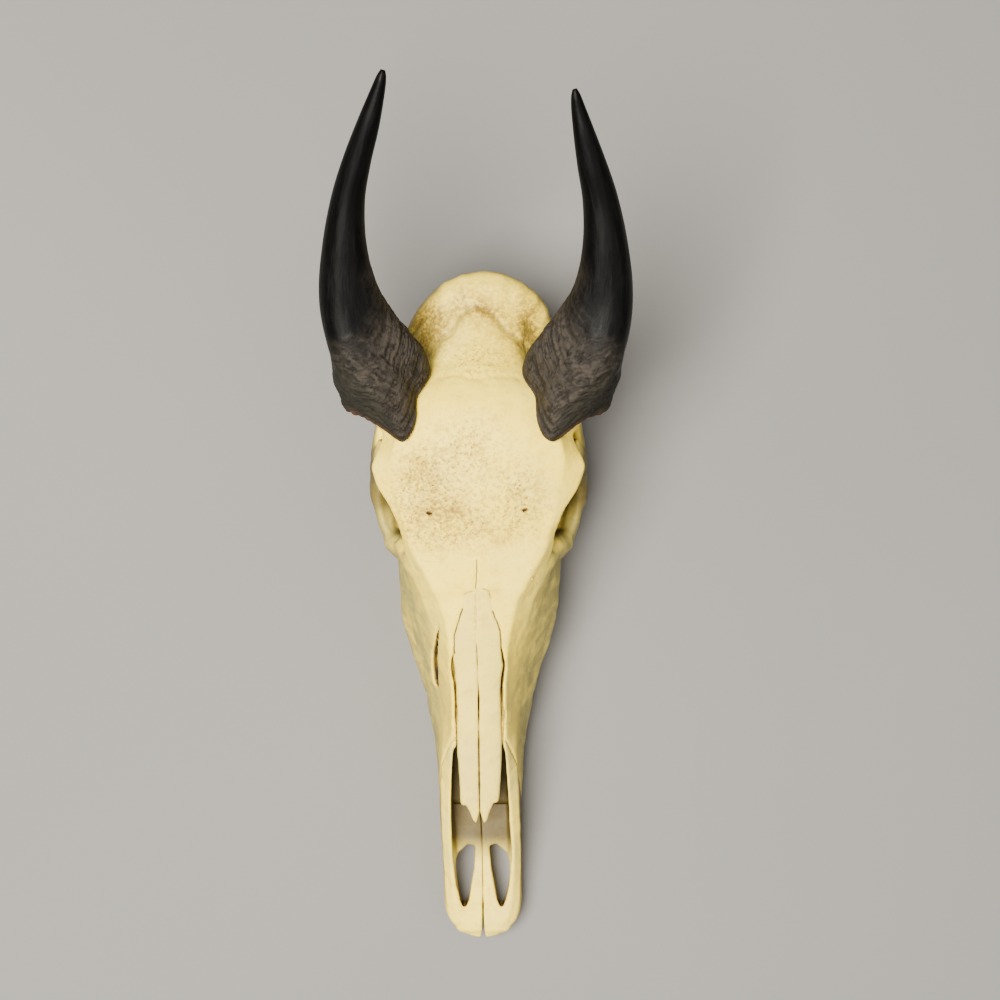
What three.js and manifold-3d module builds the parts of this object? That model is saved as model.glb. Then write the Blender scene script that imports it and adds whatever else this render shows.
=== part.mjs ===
// The skull of a male nilgai, without its lower jaw, resting on its cheek teeth.
// Millimetres. +Z is up and the muzzle points to -Y, so the animal's own left side is +X.
// The bones are modelled as one distance field, which is negative inside the bone. The field is parted
// along the open seams, and each part is skinned with triangles and thinned to the few that it needs.
// The teeth and the horn sheaths are rings of points joined up, and the bone is cut away from the sheaths.

import * as THREE from "three";
import Module from "manifold-3d";

const wasm = await Module();
wasm.setup();

// Driving dimensions
const seamGap = 0.7; // open seams between the muzzle bones
const socketGap = 0.6; // round a tooth's root
const sheathGap = 1.1; // between a horn sheath and the bone under it
const rootTop = 24; // the roots' ends above the chewing faces
const cellSize = 2.6; // of the grid that the bone is skinned on
const boneTriangles = 5130;
const muzzleBend = { y: [-238, -185, -160, -120], x: [2.1, 1.5, 0.5, 0] }; // to the left, along the skull
const middle = { x: -0.58, y: -0.74 }; // of the skull's bounding box, in the frame it is modelled in

// Distance field toolkit
// A shape is a box that it lies in, and a function that gives the distance to its surface.

const far = 1e3;

function ball(centre, radii, turn = [0, 0, 0]) {
  const toLocal = new THREE.Matrix4()
    .makeRotationFromEuler(new THREE.Euler(...turn.map(THREE.MathUtils.degToRad), "XYZ"))
    .transpose().elements;
  const reach = Math.max(...radii);
  return {
    box: [centre.map((c) => c - reach), centre.map((c) => c + reach)],
    at(x, y, z) {
      const px = x - centre[0];
      const py = y - centre[1];
      const pz = z - centre[2];
      const u = (toLocal[0] * px + toLocal[4] * py + toLocal[8] * pz) / radii[0];
      const v = (toLocal[1] * px + toLocal[5] * py + toLocal[9] * pz) / radii[1];
      const w = (toLocal[2] * px + toLocal[6] * py + toLocal[10] * pz) / radii[2];
      const near = Math.hypot(u, v, w);
      const slope = Math.hypot(u / radii[0], v / radii[1], w / radii[2]);
      return slope < 1e-9 ? -Math.min(...radii) : (near * (near - 1)) / slope;
    },
  };
}

// A bent rod through points [x, y, z, radius]. It is thinner by flat.ratio along flat.axis.
function rod(points, flat = { axis: [0, 0, 1], ratio: 1 }) {
  const reach = Math.max(...points.map((p) => p[3]));
  const low = [0, 1, 2].map((i) => Math.min(...points.map((p) => p[i])) - reach);
  const high = [0, 1, 2].map((i) => Math.max(...points.map((p) => p[i])) + reach);
  const [nx, ny, nz] = new THREE.Vector3(...flat.axis).normalize().toArray();
  return {
    box: [low, high],
    at(x, y, z) {
      let best = far;
      for (let i = 0; i + 1 < points.length; i++) {
        const [ax, ay, az, ar] = points[i];
        const [bx, by, bz, br] = points[i + 1];
        const dx = bx - ax;
        const dy = by - ay;
        const dz = bz - az;
        const along = ((x - ax) * dx + (y - ay) * dy + (z - az) * dz) / (dx * dx + dy * dy + dz * dz);
        const t = Math.min(1, Math.max(0, along));
        let ox = x - ax - t * dx;
        let oy = y - ay - t * dy;
        let oz = z - az - t * dz;
        const side = (ox * nx + oy * ny + oz * nz) * (flat.ratio - 1);
        ox += side * nx;
        oy += side * ny;
        oz += side * nz;
        best = Math.min(best, Math.hypot(ox, oy, oz) - ar - t * (br - ar));
      }
      return best;
    },
  };
}

// The value of a smooth curve through (knots[i], values[i]) at t.
function curveAt(knots, values, t) {
  const last = knots.length - 1;
  if (t <= knots[0]) return values[0];
  if (t >= knots[last]) return values[last];
  let i = 0;
  while (t > knots[i + 1]) i++;
  const slope = (k) => {
    if (k === 0) return (values[1] - values[0]) / (knots[1] - knots[0]);
    if (k === last) return (values[last] - values[last - 1]) / (knots[last] - knots[last - 1]);
    return (values[k + 1] - values[k - 1]) / (knots[k + 1] - knots[k - 1]);
  };
  const span = knots[i + 1] - knots[i];
  const s = (t - knots[i]) / span;
  const s2 = s * s;
  const s3 = s2 * s;
  return (
    (2 * s3 - 3 * s2 + 1) * values[i] +
    (s3 - 2 * s2 + s) * span * slope(i) +
    (3 * s2 - 2 * s3) * values[i + 1] +
    (s3 - s2) * span * slope(i + 1)
  );
}

// A body along Y. Each station is [y, [x, z], [x, z], ...], half of a section from its top middle to its
// bottom middle. The roof, between the first two points, is arched. Corners are rounded by round.
function loft(stations, round = 3) {
  const knots = stations.map((s) => s[0]);
  const arched = stations.map(([, top, edge, ...rest]) => {
    const onArch = (share) => [share * edge[0], top[1] - share * share * (top[1] - edge[1])];
    return [top, onArch(0.35), onArch(0.7), edge, ...rest];
  });
  const corners = arched[0].length;
  const xs = [];
  const zs = [];
  for (let c = 0; c < corners; c++) {
    xs.push(arched.map((s) => s[c][0]));
    zs.push(arched.map((s) => s[c][1]));
  }
  const widest = Math.max(...xs.flat()) + round;
  const section = { y: NaN, x: [], z: [] };
  return {
    box: [
      [-widest, knots[0] - round, Math.min(...zs.flat()) - round],
      [widest, knots[knots.length - 1] + round, Math.max(...zs.flat()) + round],
    ],
    at(x, y, z) {
      if (section.y !== y) {
        section.y = y;
        for (let c = 0; c < corners; c++) {
          section.x[c] = curveAt(knots, xs[c], y);
          section.z[c] = curveAt(knots, zs[c], y);
        }
      }
      const px = Math.abs(x);
      let nearest = far * far;
      let inside = false;
      for (let c = 0; c + 1 < corners; c++) {
        const ax = section.x[c];
        const az = section.z[c];
        const bx = section.x[c + 1];
        const bz = section.z[c + 1];
        const dx = bx - ax;
        const dz = bz - az;
        const length2 = dx * dx + dz * dz || 1e-9;
        const t = Math.min(1, Math.max(0, ((px - ax) * dx + (z - az) * dz) / length2));
        const ox = px - ax - t * dx;
        const oz = z - az - t * dz;
        nearest = Math.min(nearest, ox * ox + oz * oz);
        if (az > z !== bz > z && px < ax + ((z - az) / dz) * dx) inside = !inside;
      }
      const flatwise = (inside ? -1 : 1) * Math.sqrt(nearest);
      const endwise = Math.max(knots[0] - y, y - knots[knots.length - 1]);
      const outside = Math.hypot(Math.max(flatwise, 0), Math.max(endwise, 0));
      return outside + Math.min(Math.max(flatwise, endwise), 0) - round;
    },
  };
}

// An upright prism over a plan outline [x, y], from low to high.
function prism(outline, low, high, round = 0) {
  const xs = outline.map((p) => p[0]);
  const ys = outline.map((p) => p[1]);
  return {
    box: [
      [Math.min(...xs) - round, Math.min(...ys) - round, low - round],
      [Math.max(...xs) + round, Math.max(...ys) + round, high + round],
    ],
    at(x, y, z) {
      const plan = planDistance(outline, x, y);
      const upright = Math.max(low - z, z - high);
      const outside = Math.hypot(Math.max(plan, 0), Math.max(upright, 0));
      return outside + Math.min(Math.max(plan, upright), 0) - round;
    },
  };
}

function planDistance(outline, x, y) {
  let nearest = far * far;
  let inside = false;
  for (let i = 0; i < outline.length; i++) {
    const [ax, ay] = outline[i];
    const [bx, by] = outline[(i + 1) % outline.length];
    const dx = bx - ax;
    const dy = by - ay;
    const t = Math.min(1, Math.max(0, ((x - ax) * dx + (y - ay) * dy) / (dx * dx + dy * dy)));
    nearest = Math.min(nearest, (x - ax - t * dx) ** 2 + (y - ay - t * dy) ** 2);
    if (ay > y !== by > y && x < ax + ((y - ay) / dy) * dx) inside = !inside;
  }
  return (inside ? -1 : 1) * Math.sqrt(nearest);
}

// The same shape on both sides of the skull.
function pair(shape) {
  const reach = Math.max(Math.abs(shape.box[0][0]), Math.abs(shape.box[1][0]));
  return {
    box: [
      [-reach, shape.box[0][1], shape.box[0][2]],
      [reach, shape.box[1][1], shape.box[1][2]],
    ],
    at: (x, y, z) => shape.at(Math.abs(x), y, z),
  };
}

const add = (shape, blend = 4) => ({ shape, blend, sign: 1 });
const cut = (shape, blend = 2) => ({ shape, blend, sign: -1 });

function blended(a, b, blend) {
  const overlap = Math.max(blend - Math.abs(a - b), 0);
  return Math.min(a, b) - (blend > 0 ? (overlap * overlap) / (4 * blend) : 0);
}

// The skull's bones, from the muzzle back

// The outer form of the muzzle and the face, down to the edges of the tooth sockets.
const face = loft([
  [-230.5, [0, 18.3], [9.5, 18], [12.6, 16.5], [12.6, 13], [10, 12], [0, 12]],
  [-226, [0, 19.3], [13, 19.3], [16.4, 17], [16.4, 13], [13, 11.5], [0, 12]],
  [-217, [0, 20], [15.5, 21], [18.6, 18.5], [18.8, 13.5], [15, 10], [0, 12]],
  [-206, [0, 21.5], [16.5, 23], [19.5, 20], [20, 15], [17, 11], [0, 13]],
  [-190, [0, 26], [17, 28], [20, 24], [20.5, 17], [18, 11], [0, 14]],
  [-165, [0, 36], [16.5, 40], [20, 36], [21, 24], [19, 12], [0, 16]],
  [-140, [0, 48], [15, 52], [19.5, 46], [22, 26], [21, 14], [0, 18]],
  [-119, [0, 66], [13.5, 64.5], [18.5, 56], [23.5, 30], [22, 15], [0, 21]],
  [-93, [0, 76], [12.8, 74.7], [17.4, 62], [28.5, 38], [27, 17], [0, 23]],
  [-75, [0, 83], [13.4, 81], [19.2, 69], [32.5, 41], [31, 17], [0, 23]],
  [-61, [0, 88.5], [14.3, 86.4], [21.3, 74.5], [37.5, 44], [36, 17], [0, 23]],
  [-45, [0, 94.5], [16.6, 92.7], [25, 81], [41.5, 48], [39.5, 17], [0, 23]],
  [-30, [0, 99], [20.8, 97.8], [29.5, 86.5], [42.8, 54], [40.5, 18], [0, 24]],
  [-12, [0, 104.5], [30, 102], [37.3, 90], [42.6, 60], [40, 20], [0, 26]],
  [2, [0, 108], [36, 103.5], [40, 91], [41.5, 64], [37, 25], [0, 29]],
  [10, [0, 104], [30, 99], [36, 88], [39, 66], [31, 37], [0, 40]],
]);

const muzzleTip = ball([0, -215.7, 15], [22.4, 21.9, 6.4]);

// The roof over the eyes and the forehead up to the horns.
const forehead = loft([
  [-24, [0, 100], [23, 98], [27, 89], [25, 82], [0, 78]],
  [-2, [0, 109], [34.5, 105], [38, 99], [34, 92], [0, 86]],
  [20, [0, 118], [41, 111], [47.5, 106], [42, 98], [0, 90]],
  [41, [0, 125], [45, 117], [55.5, 108], [50, 100], [0, 92]],
  [52, [0, 128], [44, 120], [51.5, 109], [47, 98], [0, 90]],
  [68, [0, 129], [38, 121], [44, 109], [40, 95], [0, 88]],
  [84, [0, 123], [29, 117], [35, 105], [32, 92], [0, 84]],
  [99, [0, 110], [22, 105], [27, 96], [26, 88], [0, 80]],
]);

const braincase = loft([
  [28, [0, 108], [18, 102], [20, 84], [17, 58], [9, 44], [0, 44]],
  [46, [0, 115], [26, 108], [29, 86], [24, 56], [10, 42], [0, 42]],
  [66, [0, 121], [31, 110], [35, 86], [30, 54], [11, 40], [0, 40]],
  [84, [0, 120], [29, 109], [37, 86], [33, 52], [12, 38], [0, 38]],
  [102, [0, 112], [26, 103], [36, 82], [36, 50], [14, 35], [0, 35]],
  [118, [0, 104], [23, 98], [34, 78], [38, 50], [16, 34], [0, 34]],
  [132, [0, 99], [20, 94], [30, 76], [32, 50], [15, 36], [0, 36]],
  [140, [0, 95], [16, 91], [23, 76], [23, 52], [13, 40], [0, 40]],
]);

// The wall between the eye sockets, down to the palatine bones.
const septum = loft([
  [-8, [0, 104], [26, 98], [24, 70], [17, 34], [0, 32]],
  [12, [0, 108], [24, 100], [19, 72], [15, 36], [0, 34]],
  [34, [0, 108], [22, 98], [17, 72], [14, 42], [0, 40]],
  [52, [0, 108], [22, 98], [20, 72], [14, 44], [0, 42]],
]);

// The crest at the back of the head. It leans a little to the left.
const nuchalCrest = rod([
  [38, 104, 58, 8],
  [36.5, 115, 74, 8],
  [31, 127.5, 84.5, 8.5],
  [26, 133, 88.5, 8.8],
  [19.5, 137.2, 91, 9],
  [11, 140.2, 92.8, 9.5],
  [2, 141.2, 93.2, 9.5],
  [-6, 139.8, 93, 9.5],
  [-14, 136.3, 91.5, 9.2],
  [-21, 131.2, 88.5, 8.9],
  [-27, 125.3, 84.8, 8.5],
  [-35, 114, 74, 8],
  [-38, 104, 58, 8],
]);

const cheekPlate = ball([36.5, -12, 55], [7.5, 24, 15], [0, 8, -8]);

const cheekRim = rod(
  [
    [43, -1, 60, 8],
    [50, 2, 58, 10.5],
    [52.7, 11, 56.5, 12.5],
    [56.4, 26, 58.5, 12],
    [57.4, 38, 67, 10],
    [56.6, 43.5, 80, 8.5],
    [52, 48.5, 97, 9.5],
  ],
  { axis: [1, -0.3, 0], ratio: 2.5 },
);

// The front corner of the eye socket, between the forehead's edge and the rim.
const eyeCorner = rod([
  [35, -9, 84, 8],
  [41.5, -3.5, 75.5, 7],
  [47.5, -0.5, 65, 6.5],
]);

const cheekArch = rod(
  [
    [57.5, 30, 60, 10],
    [57.5, 50, 56, 9.5],
    [54, 70, 55, 10],
    [48, 86, 56, 10],
    [40, 98, 57, 9],
  ],
  { axis: [1, 0.1, 0], ratio: 2.1 },
);

const hornCore = rod([
  [38, 62, 99, 12],
  [45, 72, 109, 13],
  [50.5, 83, 119, 13],
  [56, 96, 128.5, 12],
  [62, 112, 138.5, 10.5],
  [66.5, 134, 151, 8.5],
  [66.8, 152, 162, 6.5],
]);

const skullBase = rod([
  [0, 50, 46, 9],
  [0, 84, 43, 9],
  [0, 112, 40, 11],
  [0, 132, 42, 12],
]);

// The processes behind the jaw joints. They reach the ground and are cut flat there.
const muscularProcess = rod(
  [
    [34, 114, 52, 11],
    [35, 120, 34, 9.5],
    [34, 121, 14, 7.5],
    [33, 119, 0, 6],
  ],
  { axis: [1, 0.3, 0], ratio: 1.7 },
);

const earBulla = ball([27, 97, 37], [8.5, 15, 13], [0, 0, 15]);
const condyle = ball([15.5, 139, 46], [10, 10, 14], [0, -15, 20]);
const jawJointRoot = ball([46, 94, 56], [13, 9, 8]);

const pterygoid = rod(
  [
    [13.5, 4, 32, 5],
    [13, 26, 37, 5],
    [12, 40, 42, 5],
    [12.5, 36, 28, 4],
    [12, 32, 22, 3.2],
  ],
  { axis: [1, 0, 0], ratio: 1.6 },
);

// The hollows

const noseHollow = loft(
  [
    [-217, [0, 44], [8, 44], [8, 34], [8, 28], [0, 28]],
    [-206, [0, 60], [11, 60], [12, 30], [11, 24], [0, 24]],
    [-190, [0, 80], [13.8, 80], [15, 30], [13, 24], [0, 24]],
    [-165, [0, 90], [13.3, 90], [15.5, 32], [14, 25], [0, 25]],
    [-140, [0, 100], [11.6, 100], [15, 34], [14, 27], [0, 27]],
    [-121, [0, 104], [10.5, 104], [14.5, 38], [14, 29], [0, 29]],
    [-116, [0, 70], [10.5, 68], [15, 40], [15, 30], [0, 28]],
    [-93, [0, 76], [9.5, 74], [18, 44], [17, 30], [0, 28]],
    [-61, [0, 87], [12, 84], [22, 52], [20, 32], [0, 30]],
    [-30, [0, 92], [14, 87], [24, 60], [18, 36], [0, 34]],
    [-8, [0, 90], [12, 86], [14, 66], [12, 40], [0, 38]],
  ],
  2,
);

const throat = loft(
  [
    [-14, [0, 50], [8, 48], [9, 40], [8, 36], [0, 36]],
    [8, [0, 44], [9, 43], [9.5, 32], [9, 24], [0, 20]],
    [30, [0, 39], [8.5, 38], [9, 28], [8, 8], [0, 6]],
    [48, [0, 35], [8, 34], [8, 26], [7, 6], [0, 4]],
  ],
  2,
);

const eyeSocket = ball([52, 20, 85], [32, 25.5, 22.5], [0, 0, 18]);
const eyeRoom = ball([40, 18, 82.5], [21.5, 25, 21.5], [0, 0, 12]);
const eyeFloor = ball([45, 9, 53], [11, 19, 7]);
const eyeApex = ball([34, 34, 80], [17, 22, 15], [0, 0, 30]);
const templeHollow = ball([47, 70, 80], [10, 27, 27], [0, -8, 0]);
const templeSlope = ball([43, 104, 112], [15, 26, 22], [0, 25, 20]);
const brainHollow = ball([0, 92, 76], [23, 34, 22]);
const brainDoor = ball([0, 138, 62], [14, 22, 12]);
const palateVault = loft(
  [
    [-200, [0, 12], [8, 10.5], [10, -4], [0, -4]],
    [-150, [0, 15], [10, 12], [13, -4], [0, -4]],
    [-100, [0, 19.5], [10, 16], [12, -4], [0, -4]],
    [-60, [0, 21], [13, 18], [16, -4], [0, -4]],
    [-10, [0, 23], [17, 19], [20, -4], [0, -4]],
    [16, [0, 24], [15, 20], [18, -4], [0, -4]],
  ],
  2,
);

// The window through the palate on each side of the bar in the muzzle's middle.
const palateWindow = prism(
  [
    [5.6, -182.7],
    [8, -182],
    [13.2, -186.5],
    [14.8, -190.5],
    [15.1, -197],
    [14.4, -204.5],
    [12.4, -213.5],
    [11, -216.6],
    [9.6, -213.6],
    [8, -204.5],
    [6.2, -194.5],
  ],
  -5,
  34,
  1.2,
);

const infraorbitalHole = rod([
  [36, -92, 35, 3.5],
  [22, -84, 38, 3],
]);

// The slit in front of the eye. Only the animal's right side has it open.
const faceSlit = rod(
  [
    [-21.6, -46.4, 87.5, 0.4],
    [-22.1, -55.5, 78.5, 1.1],
    [-23.9, -64.8, 69.5, 2.2],
    [-24.4, -73.8, 63.5, 3],
    [-24.2, -80.5, 59.4, 2.6],
  ],
  { axis: [0.84, 0, -0.54], ratio: 0.3 },
);

const bone = [
  add(face, 0),
  add(muzzleTip, 3),
  add(braincase, 6),
  add(forehead, 5),
  add(septum, 5),
  add(nuchalCrest, 6),
  add(pair(muscularProcess), 5),
  add(skullBase, 5),
  add(pair(earBulla), 3),
  add(pair(pterygoid), 3),
  cut(pair(templeSlope), 6),
  cut(pair(templeHollow), 5),
  cut(pair(eyeApex), 4),
  cut(pair(eyeSocket), 3),
  add(pair(cheekPlate), 6),
  add(pair(cheekRim), 4),
  cut(pair(eyeRoom), 3),
  add(pair(eyeFloor), 3),
  add(pair(eyeCorner), 3),
  add(pair(cheekArch), 4),
  add(pair(jawJointRoot), 4),
  add(pair(hornCore), 4),
  add(pair(condyle), 3),
  cut(noseHollow, 2),
  cut(palateVault, 2),
  cut(throat, 2),
  cut(pair(palateWindow), 1),
  cut(brainHollow, 2),
  cut(brainDoor, 3),
  cut(pair(infraorbitalHole), 2),
  cut(faceSlit, 1),
];

// The left nasal bone: where it starts and ends across the roof, at each y, and the height of its roof.
const nasalInner = { y: [-163, -158, -153, -24], x: [2.9, 1.6, seamGap / 2, seamGap / 2] };
const nasalOuter = {
  y: [-163, -156, -149, -147.5, -128, -90, -50, -38, -31, -24],
  x: [3.3, 7.2, 10.2, 11.6, 12.8, 13.2, 13, 9.6, 5, 1],
};
const nasalBridge = {
  y: [-165, -149, -130, -110, -90, -70, -50, -35, -20],
  z: [55.5, 61, 67.5, 74, 80.5, 87.5, 95, 100, 105],
};
const nasalThickness = 3.4;
const nasalDrop = 0.001; // of the roof towards its sides, times x cubed

function nasalTop(x, y) {
  return curveAt(nasalBridge.y, nasalBridge.z, y) - nasalDrop * Math.abs(x) ** 3;
}

// A straight-line reading of a table.
function lineAt({ y, x }, t) {
  let i = 0;
  while (i + 2 < y.length && t > y[i + 1]) i++;
  const share = Math.min(1, Math.max(0, (t - y[i]) / (y[i + 1] - y[i])));
  return x[i] + share * (x[i + 1] - x[i]);
}

// The premaxillae lie in front of a slanting seam, from the roof of the mouth up to the nasal bones.
const premaxillaSeam = { low: [-178, 0], high: [-114, 68] };

// Skinning: a grid of distances, and the triangles of its zero surface

function gridOf(box, step, operations) {
  const low = box[0].map((v) => Math.floor(v / step) * step - step / 2);
  const size = [0, 1, 2].map((i) => Math.ceil((box[1][i] - low[i]) / step) + 2);
  const grid = { low, step, size, values: new Float32Array(size[0] * size[1] * size[2]).fill(far) };
  for (const { shape, blend, sign } of operations) {
    const margin = blend + 3 * step;
    const from = [0, 1, 2].map((i) => Math.max(0, Math.floor((shape.box[0][i] - margin - low[i]) / step)));
    const to = [0, 1, 2].map((i) =>
      Math.min(size[i] - 1, Math.ceil((shape.box[1][i] + margin - low[i]) / step)),
    );
    for (let j = from[1]; j <= to[1]; j++)
      for (let k = from[2]; k <= to[2]; k++)
        for (let i = from[0]; i <= to[0]; i++) {
          const at = (j * size[2] + k) * size[0] + i;
          const d = shape.at(low[0] + i * step, low[1] + j * step, low[2] + k * step);
          grid.values[at] = sign * blended(sign * grid.values[at], d, blend);
        }
  }
  return grid;
}

// Each grid cube is six tetrahedra round its diagonal, so the skin is always one closed surface.
const cubeCorners = [0, 1, 2, 3, 4, 5, 6, 7].map((c) => [c & 1, (c >> 1) & 1, (c >> 2) & 1]);
const tetrahedra = [
  [0, 1, 3, 7],
  [0, 3, 2, 7],
  [0, 2, 6, 7],
  [0, 6, 4, 7],
  [0, 4, 5, 7],
  [0, 5, 1, 7],
];

function skin(grid) {
  const { low, step, size } = grid;
  const count = grid.values.length;
  const offZero = 1e-3; // so that no corner of a triangle falls on a grid point
  const values = grid.values.map((d) => (Math.abs(d) < offZero ? offZero : d));
  const place = (at) => {
    const i = at % size[0];
    const k = Math.floor(at / size[0]) % size[2];
    const j = Math.floor(at / (size[0] * size[2]));
    return [low[0] + i * step, low[1] + j * step, low[2] + k * step];
  };
  const positions = [];
  const triangles = [];
  const known = new Map();
  const crossing = (a, b) => {
    const key = Math.min(a, b) * count + Math.max(a, b);
    if (!known.has(key)) {
      const p = place(a);
      const q = place(b);
      const t = Math.min(0.95, Math.max(0.05, values[a] / (values[a] - values[b])));
      known.set(key, positions.length / 3);
      positions.push(...p.map((v, i) => v + t * (q[i] - v)));
    }
    return known.get(key);
  };
  const face3 = (a, b, c, inner, outer) => {
    const v = [a, b, c].map((n) => new THREE.Vector3().fromArray(positions, 3 * n));
    const normal = v[1].clone().sub(v[0]).cross(v[2].clone().sub(v[0]));
    const out = new THREE.Vector3(...place(outer)).sub(new THREE.Vector3(...place(inner)));
    triangles.push(...(normal.dot(out) > 0 ? [a, b, c] : [a, c, b]));
  };
  const offset = cubeCorners.map(([i, j, k]) => (j * size[2] + k) * size[0] + i);
  for (let j = 0; j + 1 < size[1]; j++)
    for (let k = 0; k + 1 < size[2]; k++)
      for (let i = 0; i + 1 < size[0]; i++) {
        const origin = (j * size[2] + k) * size[0] + i;
        let inside = 0;
        for (const o of offset) inside += values[origin + o] < 0 ? 1 : 0;
        if (inside === 0 || inside === 8) continue;
        for (const tetrahedron of tetrahedra) {
          const ends = tetrahedron.map((c) => origin + offset[c]);
          const inner = ends.filter((e) => values[e] < 0);
          const outer = ends.filter((e) => values[e] >= 0);
          if (inner.length === 1 || outer.length === 1) {
            const [lone] = inner.length === 1 ? inner : outer;
            const rest = inner.length === 1 ? outer : inner;
            const [a, b, c] = rest.map((e) => crossing(lone, e));
            face3(a, b, c, inner[0], outer[0]);
          } else if (inner.length === 2) {
            const a = crossing(inner[0], outer[0]);
            const b = crossing(inner[0], outer[1]);
            const c = crossing(inner[1], outer[1]);
            const d = crossing(inner[1], outer[0]);
            face3(a, b, c, inner[0], outer[1]);
            face3(a, c, d, inner[1], outer[0]);
          }
        }
      }
  return { positions, triangles };
}

// Thinning: edges are collapsed, the flattest first, until few enough triangles are left
// Each corner carries the sum of the squared distances to its planes, as ten numbers.

const leastTurn = 0.35; // the cosine of the most that a triangle may turn in one collapse
const leastShare = 0.06; // twice a triangle's area over its longest side squared, at the least

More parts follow.
